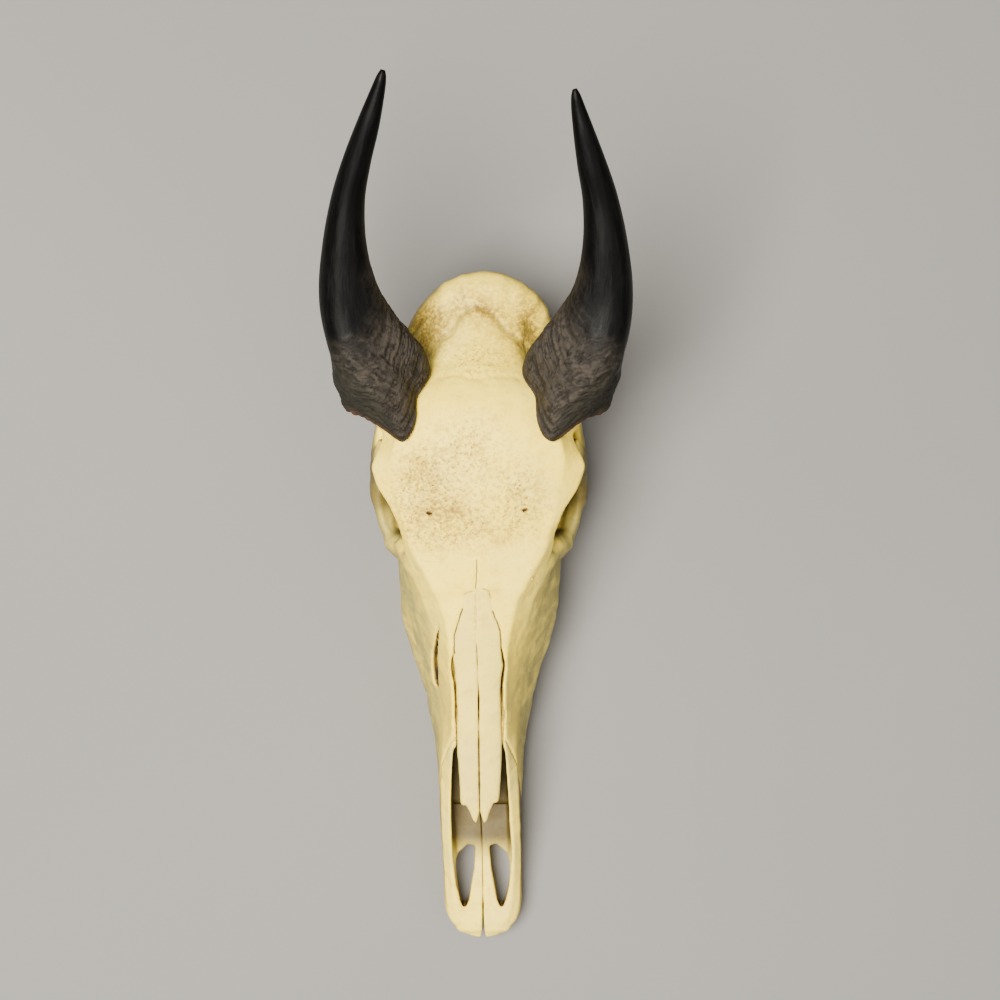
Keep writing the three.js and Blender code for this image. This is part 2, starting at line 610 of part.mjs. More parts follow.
function thin({ positions, triangles }, wanted) {
  const at = Float64Array.from(positions);
  const corners = Int32Array.from(triangles);
  const count = at.length / 3;
  const around = Array.from({ length: count }, () => []);
  const forms = new Float64Array(count * 10);
  const changes = new Int32Array(count);
  const normalOf = (t, moved = -1, other = -1, place = null) => {
    const p = [0, 1, 2].map((i) => {
      const v = corners[3 * t + i];
      return v === moved || v === other ? place : [at[3 * v], at[3 * v + 1], at[3 * v + 2]];
    });
    const [ux, uy, uz] = [p[1][0] - p[0][0], p[1][1] - p[0][1], p[1][2] - p[0][2]];
    const [vx, vy, vz] = [p[2][0] - p[0][0], p[2][1] - p[0][1], p[2][2] - p[0][2]];
    const n = [uy * vz - uz * vy, uz * vx - ux * vz, ux * vy - uy * vx];
    const longest = Math.max(
      ux * ux + uy * uy + uz * uz,
      vx * vx + vy * vy + vz * vz,
      (ux - vx) ** 2 + (uy - vy) ** 2 + (uz - vz) ** 2,
    );
    return { n, size: Math.hypot(...n), p, longest };
  };
  for (let t = 0; t < corners.length / 3; t++) {
    const { n, size, p } = normalOf(t);
    if (size > 1e-12) {
      const [x, y, z] = n.map((v) => v / size);
      const w = -(x * p[0][0] + y * p[0][1] + z * p[0][2]);
      const plane = [x * x, x * y, x * z, x * w, y * y, y * z, y * w, z * z, z * w, w * w];
      for (let i = 0; i < 3; i++)
        for (let q = 0; q < 10; q++) forms[10 * corners[3 * t + i] + q] += (size / 2) * plane[q];
    }
    for (let i = 0; i < 3; i++) around[corners[3 * t + i]].push(t);
  }

  const meeting = (a, b) => {
    const f = [0, 1, 2, 3, 4, 5, 6, 7, 8, 9].map((q) => forms[10 * a + q] + forms[10 * b + q]);
    const half = [0, 1, 2].map((i) => (at[3 * a + i] + at[3 * b + i]) / 2);
    const hold = 1e-3 * (f[0] + f[4] + f[7]) + 1e-9;
    const [xx, yy, zz] = [f[0] + hold, f[4] + hold, f[7] + hold];
    const [xy, xz, yz] = [f[1], f[2], f[5]];
    const [rx, ry, rz] = [hold * half[0] - f[3], hold * half[1] - f[6], hold * half[2] - f[8]];
    const [cx, cy, cz] = [yy * zz - yz * yz, xz * yz - xy * zz, xy * yz - xz * yy];
    const size = xx * cx + xy * cy + xz * cz;
    const x = (rx * cx + ry * cy + rz * cz) / size;
    const y = (rx * cy + ry * (xx * zz - xz * xz) + rz * (xy * xz - xx * yz)) / size;
    const z = (rx * cz + ry * (xy * xz - xx * yz) + rz * (xx * yy - xy * xy)) / size;
    const error =
      f[0] * x * x + f[4] * y * y + f[7] * z * z + f[9] +
      2 * (f[1] * x * y + f[2] * x * z + f[5] * y * z + f[3] * x + f[6] * y + f[8] * z);
    const length = (at[3 * a] - at[3 * b]) ** 2 + (at[3 * a + 1] - at[3 * b + 1]) ** 2 +
      (at[3 * a + 2] - at[3 * b + 2]) ** 2;
    return { place: [x, y, z], cost: Math.max(0, error) + 1e-4 * length };
  };

  const queue = [];
  const swap = (i, j) => ([queue[i], queue[j]] = [queue[j], queue[i]]);
  const offer = (a, b) => {
    const { place, cost } = meeting(a, b);
    queue.push({ a, b, place, cost, stamp: changes[a] + changes[b] });
    for (let i = queue.length - 1; i > 0 && queue[(i - 1) >> 1].cost > queue[i].cost; i = (i - 1) >> 1)
      swap(i, (i - 1) >> 1);
  };
  const takeCheapest = () => {
    const first = queue[0];
    const last = queue.pop();
    if (queue.length > 0) {
      queue[0] = last;
      for (let i = 0; ; ) {
        let least = i;
        for (const child of [2 * i + 1, 2 * i + 2])
          if (child < queue.length && queue[child].cost < queue[least].cost) least = child;
        if (least === i) break;
        swap(i, least);
        i = least;
      }
    }
    return first;
  };
  const neighbours = (v) => {
    const found = new Set();
    for (const t of around[v]) for (let i = 0; i < 3; i++) found.add(corners[3 * t + i]);
    found.delete(v);
    return found;
  };

  for (let t = 0; t < corners.length / 3; t++)
    for (let i = 0; i < 3; i++) {
      const a = corners[3 * t + i];
      const b = corners[3 * t + ((i + 1) % 3)];
      if (a < b) offer(a, b);
    }
  let left = corners.length / 3;
  while (left > wanted && queue.length > 0) {
    const { a, b, place, stamp } = takeCheapest();
    if (changes[a] < 0 || changes[b] < 0 || stamp !== changes[a] + changes[b]) continue;
    const shared = around[a].filter((t) => around[b].includes(t));
    const nearB = neighbours(b);
    const common = [...neighbours(a)].filter((v) => nearB.has(v));
    if (shared.length !== 2 || common.length !== 2) continue;
    const kept = [...around[a], ...around[b]].filter((t) => !shared.includes(t));
    const folds = kept.some((t) => {
      const before = normalOf(t);
      const after = normalOf(t, a, b, place);
      const turned = before.n[0] * after.n[0] + before.n[1] * after.n[1] + before.n[2] * after.n[2];
      return turned < leastTurn * before.size * after.size || after.size < leastShare * after.longest;
    });
    if (folds) continue;
    for (let i = 0; i < 3; i++) at[3 * a + i] = place[i];
    for (let q = 0; q < 10; q++) forms[10 * a + q] += forms[10 * b + q];
    for (const t of around[b])
      for (let i = 0; i < 3; i++) if (corners[3 * t + i] === b) corners[3 * t + i] = a;
    for (const v of common) around[v] = around[v].filter((t) => !shared.includes(t));
    around[a] = kept;
    around[b] = [];
    changes[b] = -1e9;
    for (const t of shared) corners.fill(-1, 3 * t, 3 * t + 3);
    changes[a] += 1;
    left -= 2;
    for (const v of neighbours(a)) offer(a, v);
  }
  return compact(at, corners);
}

function compact(at, corners) {
  const renamed = new Map();
  const positions = [];
  const triangles = [];
  for (const v of corners) {
    if (v < 0) continue;
    if (!renamed.has(v)) {
      renamed.set(v, positions.length / 3);
      positions.push(at[3 * v], at[3 * v + 1], at[3 * v + 2]);
    }
    triangles.push(renamed.get(v));
  }
  return { positions, triangles };
}

// Solids from rings of points. The first and last rings are closed by a fan.
function ringed(rings) {
  const round = rings[0].length;
  const positions = rings.flat(2);
  const triangles = [];
  for (let r = 0; r + 1 < rings.length; r++)
    for (let i = 0; i < round; i++) {
      const a = r * round + i;
      const b = r * round + ((i + 1) % round);
      triangles.push(a, b, b + round, a, b + round, a + round);
    }
  for (const [r, flip] of [
    [0, true],
    [rings.length - 1, false],
  ]) {
    const middleOfRing = [0, 1, 2].map((k) => rings[r].reduce((sum, p) => sum + p[k] / round, 0));
    const hub = positions.length / 3;
    positions.push(...middleOfRing);
    for (let i = 0; i < round; i++) {
      const a = r * round + i;
      const b = r * round + ((i + 1) % round);
      triangles.push(...(flip ? [b, a, hub] : [a, b, hub]));
    }
  }
  return outward({ positions, triangles });
}

// The same mesh with its faces turned outward.
function outward({ positions, triangles }) {
  let volume = 0;
  for (let t = 0; t < triangles.length; t += 3) {
    const [a, b, c] = [0, 1, 2].map((i) => new THREE.Vector3().fromArray(positions, 3 * triangles[t + i]));
    volume += a.dot(b.cross(c));
  }
  return { positions, triangles: volume > 0 ? triangles : triangles.slice().reverse() };
}

const solidOf = ({ positions, triangles }) =>
  new wasm.Manifold(
    new wasm.Mesh({
      numProp: 3,
      vertProperties: Float32Array.from(positions),
      triVerts: Uint32Array.from(triangles),
    }),
  );

// A block whose far end is hidden in open air: an outline [a, b] in a plane, pushed along its third axis.
function block(outline, from, to, place) {
  return solidOf(ringed([from, to].map((depth) => outline.map(([a, b]) => place(a, b, depth)))));
}

// The same mesh with every face moved outward by at least gap.
function grown({ positions, triangles }, gap) {
  const normals = Array.from({ length: positions.length / 3 }, () => []);
  for (let t = 0; t < triangles.length; t += 3) {
    const corners = triangles.slice(t, t + 3);
    const [a, b, c] = corners.map((v) => new THREE.Vector3().fromArray(positions, 3 * v));
    const normal = b.sub(a).cross(c.sub(a)).normalize();
    for (const v of corners) normals[v].push(normal);
  }
  const moved = normals.flatMap((around, v) => {
    const mean = around.reduce((sum, n) => sum.add(n), new THREE.Vector3()).normalize();
    const steepest = Math.max(0.4, Math.min(...around.map((n) => n.dot(mean))));
    return new THREE.Vector3().fromArray(positions, 3 * v).addScaledVector(mean, gap / steepest).toArray();
  });
  return { positions: moved, triangles };
}

// Only the biggest of a mesh's separate bodies.
function biggest(mesh) {
  const { vertProperties, triVerts, numProp } = mesh;
  const parent = Int32Array.from({ length: vertProperties.length / numProp }, (_, i) => i);
  const root = (v) => {
    while (parent[v] !== v) v = parent[v] = parent[parent[v]];
    return v;
  };
  for (let t = 0; t < triVerts.length; t += 3) {
    parent[root(triVerts[t])] = root(triVerts[t + 1]);
    parent[root(triVerts[t])] = root(triVerts[t + 2]);
  }
  const tally = new Map();
  for (const v of triVerts) tally.set(root(v), (tally.get(root(v)) ?? 0) + 1);
  const most = [...tally.entries()].sort((a, b) => b[1] - a[1])[0][0];
  const corners = Array.from(triVerts, (v) => (root(v) === most ? v : -1));
  return compact(vertProperties, corners);
}

// The nasal bones

function nasal(side, grow = 0) {
  const stations = [-163, -158, -153, -149, -147.5, -138, -128, -110, -90, -70, -50, -38, -31, -24];
  const rise = grow > 0 ? 30 : 0;
  return ringed(
    stations.map((y, row) => {
      const inner = lineAt(nasalInner, y) - grow;
      const outer = lineAt(nasalOuter, y) + grow;
      const at = y + (row === 0 ? -grow : row === stations.length - 1 ? 1.5 * grow : 0);
      const ring = [0, 0.35, 0.7, 1].map((share) => {
        const x = inner + share * (outer - inner);
        return [side * x, at, nasalTop(x, y) + rise];
      });
      const under = [1, 0.6, 0.3, 0].map((share) => {
        const x = inner + share * (outer - inner);
        return [side * x, at, nasalTop(x, y) - nasalThickness - grow];
      });
      return [...ring, ...under];
    }),
  );
}

// The cheek teeth: [name, x, y, length, width, waist between the lobes]
const teeth = [
  ["premolar_2", 21.3, -96, 12, 9, 0],
  ["premolar_3", 25, -82.2, 14, 11, 0.05],
  ["premolar_4", 28.3, -67.4, 14, 13, 0.05],
  ["molar_1", 31.6, -50.6, 18, 15.5, 0.2],
  ["molar_2", 33.4, -30.3, 21, 17, 0.2],
  ["molar_3", 33.6, -8, 22, 16.5, 0.2],
];
const rowSlant = [14, 12, 10, 8, 3, -2]; // degrees that each tooth turns outward

function tooth(index, side, grow = 0) {
  const [, x, y, length, width, waist] = teeth[index];
  const turn = THREE.MathUtils.degToRad(rowSlant[index]);
  const round = 12;
  const level = (z, scale) =>
    Array.from({ length: round }, (_, i) => {
      const angle = ((i + 0.5) / round) * 2 * Math.PI;
      const bow = (v, power) => Math.sign(v) * Math.abs(v) ** power;
      const v = bow(Math.sin(angle), 0.75);
      const pinch = 1 - waist * Math.exp(-((v / 0.35) ** 2));
      const u = bow(Math.cos(angle), 0.7) * pinch;
      const px = u * ((width / 2) * scale + grow);
      const py = v * ((length / 2) * scale + grow);
      const across = px * Math.cos(turn) + py * Math.sin(turn);
      const along = py * Math.cos(turn) - px * Math.sin(turn);
      return [side * (x + across), y + along, z];
    });
  return ringed([level(-3 * grow, 0.97), level(rootTop / 2, 1), level(rootTop + grow, 0.75)]);
}

// The horn sheaths: [y, x, z, half width, half depth, keel, direction of the keel in degrees]
const hornStations = {
  right: [
    [60, 38.6, 98, 20, 19, 0.28, 110],
    [70, 44.2, 107, 22.2, 20, 0.25, 105],
    [82, 49.8, 118, 23.6, 21.5, 0.2, 96],
    [95, 55.7, 128, 24, 21.5, 0.16, 83],
    [112, 63, 138.5, 19.8, 19.5, 0.12, 66],
    [134, 68, 151, 15.6, 16, 0.06, 45],
    [155, 68.8, 163.5, 11.7, 12, 0.02, 40],
    [177, 66, 176, 8.8, 9.2, 0, 40],
    [195, 60.6, 187.5, 7.3, 7.5, 0, 40],
    [212, 54, 199, 5.8, 6, 0, 40],
    [227, 48.4, 209, 3.6, 3.6, 0, 40],
    [233, 46.4, 213, 2.4, 2.4, 0, 40],
    [235, 45.8, 214.2, 1.4, 1.4, 0, 40],
  ],
  left: [
    [60, 37.6, 98, 19.5, 19, 0.28, 110],
    [70, 42.6, 107, 22, 20, 0.25, 105],
    [82, 47.8, 118, 23.6, 21.5, 0.2, 96],
    [95, 54.3, 128, 24, 21.5, 0.16, 83],
    [112, 61.8, 138.5, 20.7, 19.5, 0.12, 66],
    [134, 66.6, 151, 15.7, 15.5, 0.06, 45],
    [155, 66.8, 163.5, 12, 11.8, 0.02, 40],
    [177, 63.6, 175, 9.2, 9.2, 0, 40],
    [195, 58.3, 186, 7.4, 7.5, 0, 40],
    [209, 54.1, 195, 5.4, 5.6, 0, 40],
    [219, 51.2, 201, 3.7, 3.8, 0, 40],
    [225, 49.7, 205, 2.4, 2.5, 0, 40],
    [227.3, 49.2, 206.5, 1.4, 1.4, 0, 40],
  ],
};
const hornRows = 16;
const hornRound = 15; // three corners' worth
// The sheath's rim lies in these planes, where the bone doesn't end it higher: over the first one, and
// over one or both of the two others.
const rimBelow = { through: [41, 54, 118], normal: [0.303, 0.149, 0.941] };
const rimInFront = [
  { through: [38.6, 52.8, 121], normal: [-0.67, 0.74, 0.2] },
  { through: [62, 71, 108], normal: [-0.17, 0.96, 0.2] },
];

function horn(name, side) {
  const stations = hornStations[name];
  const ys = stations.map((s) => s[0]);
  const first = ys[0];
  const last = ys[ys.length - 1];
  const value = (column, y) => curveAt(ys, stations.map((s) => s[column]), y);
  const spine = (y) => new THREE.Vector3(value(1, y), y, value(2, y));
  const rings = [];
  for (let row = 0; row < hornRows; row++) {
    const y = first + (last - first) * (row / (hornRows - 1));
    const along = spine(Math.min(last, y + 0.5)).sub(spine(Math.max(first, y - 0.5))).normalize();
    const outer = new THREE.Vector3(1, 0, 0).addScaledVector(along, -along.x).normalize();
    const front = outer.clone().cross(along);
    const keelAt = THREE.MathUtils.degToRad(value(6, y));
    const ring = [];
    for (let i = 0; i < hornRound; i++) {
      const angle = keelAt + (i / hornRound) * 2 * Math.PI;
      const swell = 1 + value(5, y) * Math.cos(3 * (angle - keelAt));
      const p = spine(y)
        .addScaledVector(outer, value(3, y) * swell * Math.cos(angle))
        .addScaledVector(front, value(4, y) * swell * Math.sin(angle));
      ring.push([side * p.x, p.y, p.z]);
    }
    rings.push(ring);
  }
  const [inner, outer] = rimInFront.map((plane) => over(plane, side));
  return solidOf(ringed(rings)).intersect(over(rimBelow, side)).intersect(inner.add(outer));
}

// Everything over a plane, or over its mirror image on the right side.
function over({ through, normal }, side) {
  const up = new THREE.Vector3(...normal).normalize();
  const across = new THREE.Vector3(0, 1, 0).cross(up).normalize();
  const along = up.clone().cross(across);
  const size = 400;
  const square = [
    [-size, -size],
    [size, -size],
    [size, size],
    [-size, size],
  ];
  return block(square, 0, size, (a, b, depth) => {
    const p = new THREE.Vector3(...through)
      .addScaledVector(across, a)
      .addScaledVector(along, b)
      .addScaledVector(up, depth);
    return [side * p.x, p.y, p.z];
  });
}

// Everything in front of the premaxillae's seam, with the seam moved back by shift, between two x.
function frontOfSeam(shift, fromX, toX) {
  const { low, high } = premaxillaSeam;
  const reach = 1.5; // times the seam's own length, past each end
  const step = [reach * (high[0] - low[0]), reach * (high[1] - low[1])];
  const outline = [
    [low[0] - step[0] + shift, low[1] - step[1]],
    [high[0] + step[0] + shift, high[1] + step[1]],
    [-400, high[1] + step[1]],
    [-400, low[1] - step[1]],
  ];
  return block(outline, fromX, toX, (y, z, x) => [x, y, z]);
}

// Assembly

const skullBox = [
  [-84, -245, -10],
  [84, 165, 182],
];
const grid = gridOf(skullBox, cellSize, bone);
const boneMesh = outward(thin(skin(grid), boneTriangles));
const wholeBone = solidOf(boneMesh);
const boneAndAir = solidOf(grown(boneMesh, sheathGap));
const underground = block(
  [
    [-200, -300],
    [200, -300],
    [200, 300],
    [-200, 300],
  ],
  -50,
  0,
  (x, y, z) => [x, y, z],
);
const sides = { left: 1, right: -1 };

const bedded = Object.values(sides).reduce(
  (rest, side) => rest.subtract(solidOf(nasal(side, seamGap))),
  wholeBone.subtract(underground),
);
let cranium = bedded.subtract(frontOfSeam(seamGap, -100, 100));
for (const side of Object.values(sides))
  for (let i = 0; i < teeth.length; i++) cranium = cranium.subtract(solidOf(tooth(i, side, socketGap)));

const skull = new THREE.Group();
skull.name = "nilgai_skull";

function place(name, mesh, finish) {
  const { positions, triangles } = mesh;
  const bent = positions.map((v, i) =>
    i % 3 === 0 ? v + curveAt(muzzleBend.y, muzzleBend.x, positions[i + 1]) : v,
  );
  const geometry = new THREE.BufferGeometry();
  geometry.setAttribute("position", new THREE.Float32BufferAttribute(bent, 3));
  geometry.setIndex(triangles);
  geometry.translate(-middle.x, -middle.y, 0);
  geometry.computeVertexNormals();
  const body = new THREE.Mesh(geometry, new THREE.MeshStandardMaterial({ metalness: 0, ...finish }));
  body.name = name;
  skull.add(body);
}

const boneFinish = { color: 0xe6dab4, roughness: 0.75 };
const nasalFinish = { color: 0xe4dbbd, roughness: 0.7 };
const premaxillaFinish = { color: 0xe2d8b8, roughness: 0.7 };
const hornFinish = { color: 0x2a2725, roughness: 0.5 };
const toothFinish = { color: 0xcfc19a, roughness: 0.4 };

place("cranium", biggest(cranium.getMesh()), boneFinish);
for (const [name, side] of Object.entries(sides)) {
  place(`nasal_${name}`, nasal(side), nasalFinish);
  const [near, away] = side > 0 ? [seamGap / 2, 100] : [-100, -seamGap / 2];
  place(
    `premaxilla_${name}`,
    biggest(bedded.intersect(frontOfSeam(0, near, away)).getMesh()),
    premaxillaFinish,
  );
  place(`horn_sheath_${name}`, biggest(horn(name, side).subtract(boneAndAir).getMesh()), hornFinish);
  teeth.forEach(([toothName], i) => place(`${toothName}_${name}`, tooth(i, side), toothFinish));
}

export default skull;
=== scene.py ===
"""A male nilgai's skull without its lower jaw: the looks.

The bones are modelled as a distance field, in millimetres, with the same named shapes as the solids, and
skinned more finely. Small relief, staining, painted shade and the lines of the sutures are added to the
skin.
"""

import math

import bmesh
import bpy
import numpy as np
from mathutils import Euler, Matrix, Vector


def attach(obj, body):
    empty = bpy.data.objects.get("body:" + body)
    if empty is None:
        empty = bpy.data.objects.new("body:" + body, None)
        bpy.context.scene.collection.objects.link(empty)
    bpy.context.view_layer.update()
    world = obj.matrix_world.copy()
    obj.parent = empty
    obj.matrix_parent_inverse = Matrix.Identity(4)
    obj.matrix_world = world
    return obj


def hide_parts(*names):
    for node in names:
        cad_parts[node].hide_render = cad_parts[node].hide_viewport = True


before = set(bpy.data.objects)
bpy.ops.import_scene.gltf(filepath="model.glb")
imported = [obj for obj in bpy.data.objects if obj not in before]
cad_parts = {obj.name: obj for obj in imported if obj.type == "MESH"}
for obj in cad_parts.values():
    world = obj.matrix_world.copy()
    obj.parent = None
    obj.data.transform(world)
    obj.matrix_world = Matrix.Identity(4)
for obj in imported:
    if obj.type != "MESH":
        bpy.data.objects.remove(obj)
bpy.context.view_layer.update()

# The middle of the skull's bounding box, in the millimetre frame that it is modelled in.
MIDDLE = np.array([-0.58, -0.74, 0.0])
SEAM_GAP = 0.7
SHEATH_GAP = 1.1
ROOT_TOP = 24
FAR = 1e3
MOST_TRIANGLES = 190000  # of the cranium

GRID_STEPS = {
    "skull": (2.2, 1.25), "horn": (2.0, 1.1), "muzzle": (1.7, 0.85),
    "nasal": (1.5, 0.75), "tooth": (1.1, 0.6),
}
STEP = {kind: steps[1] for kind, steps in GRID_STEPS.items()}

# The camera looks straight down from 1.15 m, as in the photograph.
camera = bpy.data.objects.new("camera", bpy.data.cameras.new("camera"))
bpy.context.scene.collection.objects.link(camera)
camera.location = Vector((np.array([12.0, 23.5, 1150.0]) - MIDDLE) / 1000)
camera.data.sensor_width = 36
camera.data.lens = 68.4
camera.data.clip_start = 0.05
bpy.context.scene.camera = camera


# Distance field shapes: (lowest corner, highest corner, function of x, y and z)


def curve_at(knots, values, t):
    k = np.asarray(knots, float)
    v = np.asarray(values, float)
    flat = v.reshape(len(k), -1)
    slope = np.empty_like(flat)
    slope[1:-1] = (flat[2:] - flat[:-2]) / (k[2:] - k[:-2])[:, None]
    slope[0] = (flat[1] - flat[0]) / (k[1] - k[0])
    slope[-1] = (flat[-1] - flat[-2]) / (k[-1] - k[-2])
    t = np.clip(np.asarray(t, float), k[0], k[-1])
    i = np.clip(np.searchsorted(k, t) - 1, 0, len(k) - 2)
    span = (k[i + 1] - k[i])[..., None]
    s = ((t - k[i]) / (k[i + 1] - k[i]))[..., None]
    out = (
        (2 * s**3 - 3 * s**2 + 1) * flat[i]
        + (s**3 - 2 * s**2 + s) * span * slope[i]
        + (3 * s**2 - 2 * s**3) * flat[i + 1]
        + (s**3 - s**2) * span * slope[i + 1]
    )
    return out.reshape(t.shape + v.shape[1:])


def ball(centre, radii, turn=(0, 0, 0)):
    x_turn, y_turn, z_turn = (
        np.array(Euler(tuple(math.radians(turn[i]) if i == axis else 0 for i in range(3))).to_matrix())
        for axis in range(3)
    )
    rotation = x_turn @ y_turn @ z_turn
    centre = np.array(centre, float)
    reach = max(radii)

    def at(x, y, z):
        px, py, pz = x - centre[0], y - centre[1], z - centre[2]
        u, v, w = (
            (rotation[0, i] * px + rotation[1, i] * py + rotation[2, i] * pz) / radii[i] for i in range(3)
        )
        near = np.sqrt(u * u + v * v + w * w)
        slope = np.sqrt((u / radii[0]) ** 2 + (v / radii[1]) ** 2 + (w / radii[2]) ** 2)
        return near * (near - 1) / np.maximum(slope, 1e-9)

    return centre - reach, centre + reach, at


def rod(points, axis=(0, 0, 1), ratio=1.0):
    p = np.array(points, float)
    reach = p[:, 3].max()
    flat = np.array(axis, float) / np.linalg.norm(axis)

    def at(x, y, z):
        best = FAR
        for a, b in zip(p[:-1], p[1:]):
            d = b[:3] - a[:3]
            along = ((x - a[0]) * d[0] + (y - a[1]) * d[1] + (z - a[2]) * d[2]) / (d @ d)
            t = np.clip(along, 0, 1)
            o = [x - a[0] - t * d[0], y - a[1] - t * d[1], z - a[2] - t * d[2]]
            side = (o[0] * flat[0] + o[1] * flat[1] + o[2] * flat[2]) * (ratio - 1)
            o = [o[i] + side * flat[i] for i in range(3)]
            best = np.minimum(best, np.sqrt(o[0] ** 2 + o[1] ** 2 + o[2] ** 2) - a[3] - t * (b[3] - a[3]))
        return best

    return p[:, :3].min(0) - reach, p[:, :3].max(0) + reach, at


def loft(stations, rounding=3.0):
    """A body along Y. Each station is [y, [x, z], ...], half of a section, with an arched roof."""
    knots = [s[0] for s in stations]
    sections = []
    for _, top, edge, *rest in stations:
        arch = [[share * edge[0], top[1] - share**2 * (top[1] - edge[1])] for share in (0.35, 0.7)]
        sections.append([top, *arch, edge, *rest])
    sections = np.array(sections, float)
    widest = sections[..., 0].max() + rounding

    def at(x, y, z):
        section = curve_at(knots, sections, np.ravel(y))
        px = np.abs(x)
        nearest = FAR * FAR
        inside = False
        for c in range(section.shape[1] - 1):
            (ax, az), (bx, bz) = (
                [section[:, i, j].reshape(np.shape(y)) for j in (0, 1)] for i in (c, c + 1)
            )
            dx, dz = bx - ax, bz - az
            t = np.clip(((px - ax) * dx + (z - az) * dz) / np.maximum(dx * dx + dz * dz, 1e-9), 0, 1)
            nearest = np.minimum(nearest, (px - ax - t * dx) ** 2 + (z - az - t * dz) ** 2)
            with np.errstate(divide="ignore", invalid="ignore"):
                crossed = ((az > z) != (bz > z)) & (px < ax + (z - az) / dz * dx)
            inside = inside ^ crossed
        flatwise = np.where(inside, -1, 1) * np.sqrt(nearest)
        endwise = np.maximum(knots[0] - y, y - knots[-1]) + 0 * flatwise
        outside = np.hypot(np.maximum(flatwise, 0), np.maximum(endwise, 0))
        return outside + np.minimum(np.maximum(flatwise, endwise), 0) - rounding

    low = np.array([-widest, knots[0] - rounding, sections[..., 1].min() - rounding])
    high = np.array([widest, knots[-1] + rounding, sections[..., 1].max() + rounding])
    return low, high, at


def plan_distance(outline, x, y):
    nearest = FAR * FAR
    inside = False
    for (ax, ay), (bx, by) in zip(outline, outline[1:] + outline[:1]):
        dx, dy = bx - ax, by - ay
        t = np.clip(((x - ax) * dx + (y - ay) * dy) / (dx * dx + dy * dy), 0, 1)
        nearest = np.minimum(nearest, (x - ax - t * dx) ** 2 + (y - ay - t * dy) ** 2)
        if ay != by:
            inside = inside ^ (((ay > y) != (by > y)) & (x < ax + (y - ay) / (by - ay) * dx))
    return np.where(inside, -1, 1) * np.sqrt(nearest)


def prism(outline, low, high, rounding=0.0):
    corners = np.array(outline, float)

    def at(x, y, z):
        plan = plan_distance(outline, x, y) + 0 * z
        upright = np.maximum(low - z, z - high) + 0 * plan
        outside = np.hypot(np.maximum(plan, 0), np.maximum(upright, 0))
        return outside + np.minimum(np.maximum(plan, upright), 0) - rounding

    return (
        np.array([*corners.min(0) - rounding, low - rounding]),
        np.array([*corners.max(0) + rounding, high + rounding]),
        at,
    )


def pair(shape):
    low, high, at = shape
    reach = max(abs(low[0]), abs(high[0]))
    return (
        np.array([-reach, low[1], low[2]]),
        np.array([reach, high[1], high[2]]),
        lambda x, y, z: at(np.abs(x), y, z),
    )


def add(shape, blend):
    return shape, blend, 1


def cut(shape, blend):
    return shape, blend, -1


# The skull's bones, from the muzzle back

# The outer form of the muzzle and the face, down to the edges of the tooth sockets.
face = loft([
    [-230.5, [0, 18.3], [9.5, 18], [12.6, 16.5], [12.6, 13], [10, 12], [0, 12]],
    [-226, [0, 19.3], [13, 19.3], [16.4, 17], [16.4, 13], [13, 11.5], [0, 12]],
    [-217, [0, 20], [15.5, 21], [18.6, 18.5], [18.8, 13.5], [15, 10], [0, 12]],
    [-206, [0, 21.5], [16.5, 23], [19.5, 20], [20, 15], [17, 11], [0, 13]],
    [-190, [0, 26], [17, 28], [20, 24], [20.5, 17], [18, 11], [0, 14]],
    [-165, [0, 36], [16.5, 40], [20, 36], [21, 24], [19, 12], [0, 16]],
    [-140, [0, 48], [15, 52], [19.5, 46], [22, 26], [21, 14], [0, 18]],
    [-119, [0, 66], [13.5, 64.5], [18.5, 56], [23.5, 30], [22, 15], [0, 21]],
    [-93, [0, 76], [12.8, 74.7], [17.4, 62], [28.5, 38], [27, 17], [0, 23]],
    [-75, [0, 83], [13.4, 81], [19.2, 69], [32.5, 41], [31, 17], [0, 23]],
    [-61, [0, 88.5], [14.3, 86.4], [21.3, 74.5], [37.5, 44], [36, 17], [0, 23]],
    [-45, [0, 94.5], [16.6, 92.7], [25, 81], [41.5, 48], [39.5, 17], [0, 23]],
    [-30, [0, 99], [20.8, 97.8], [29.5, 86.5], [42.8, 54], [40.5, 18], [0, 24]],
    [-12, [0, 104.5], [30, 102], [37.3, 90], [42.6, 60], [40, 20], [0, 26]],
    [2, [0, 108], [36, 103.5], [40, 91], [41.5, 64], [37, 25], [0, 29]],
    [10, [0, 104], [30, 99], [36, 88], [39, 66], [31, 37], [0, 40]],
])

muzzle_tip = ball([0, -215.7, 15], [22.4, 21.9, 6.4])

# The roof over the eyes and the forehead up to the horns.
forehead = loft([
    [-24, [0, 100], [23, 98], [27, 89], [25, 82], [0, 78]],
    [-2, [0, 109], [34.5, 105], [38, 99], [34, 92], [0, 86]],
    [20, [0, 118], [41, 111], [47.5, 106], [42, 98], [0, 90]],
    [41, [0, 125], [45, 117], [55.5, 108], [50, 100], [0, 92]],
    [52, [0, 128], [44, 120], [51.5, 109], [47, 98], [0, 90]],
    [68, [0, 129], [38, 121], [44, 109], [40, 95], [0, 88]],
    [84, [0, 123], [29, 117], [35, 105], [32, 92], [0, 84]],
    [99, [0, 110], [22, 105], [27, 96], [26, 88], [0, 80]],
])

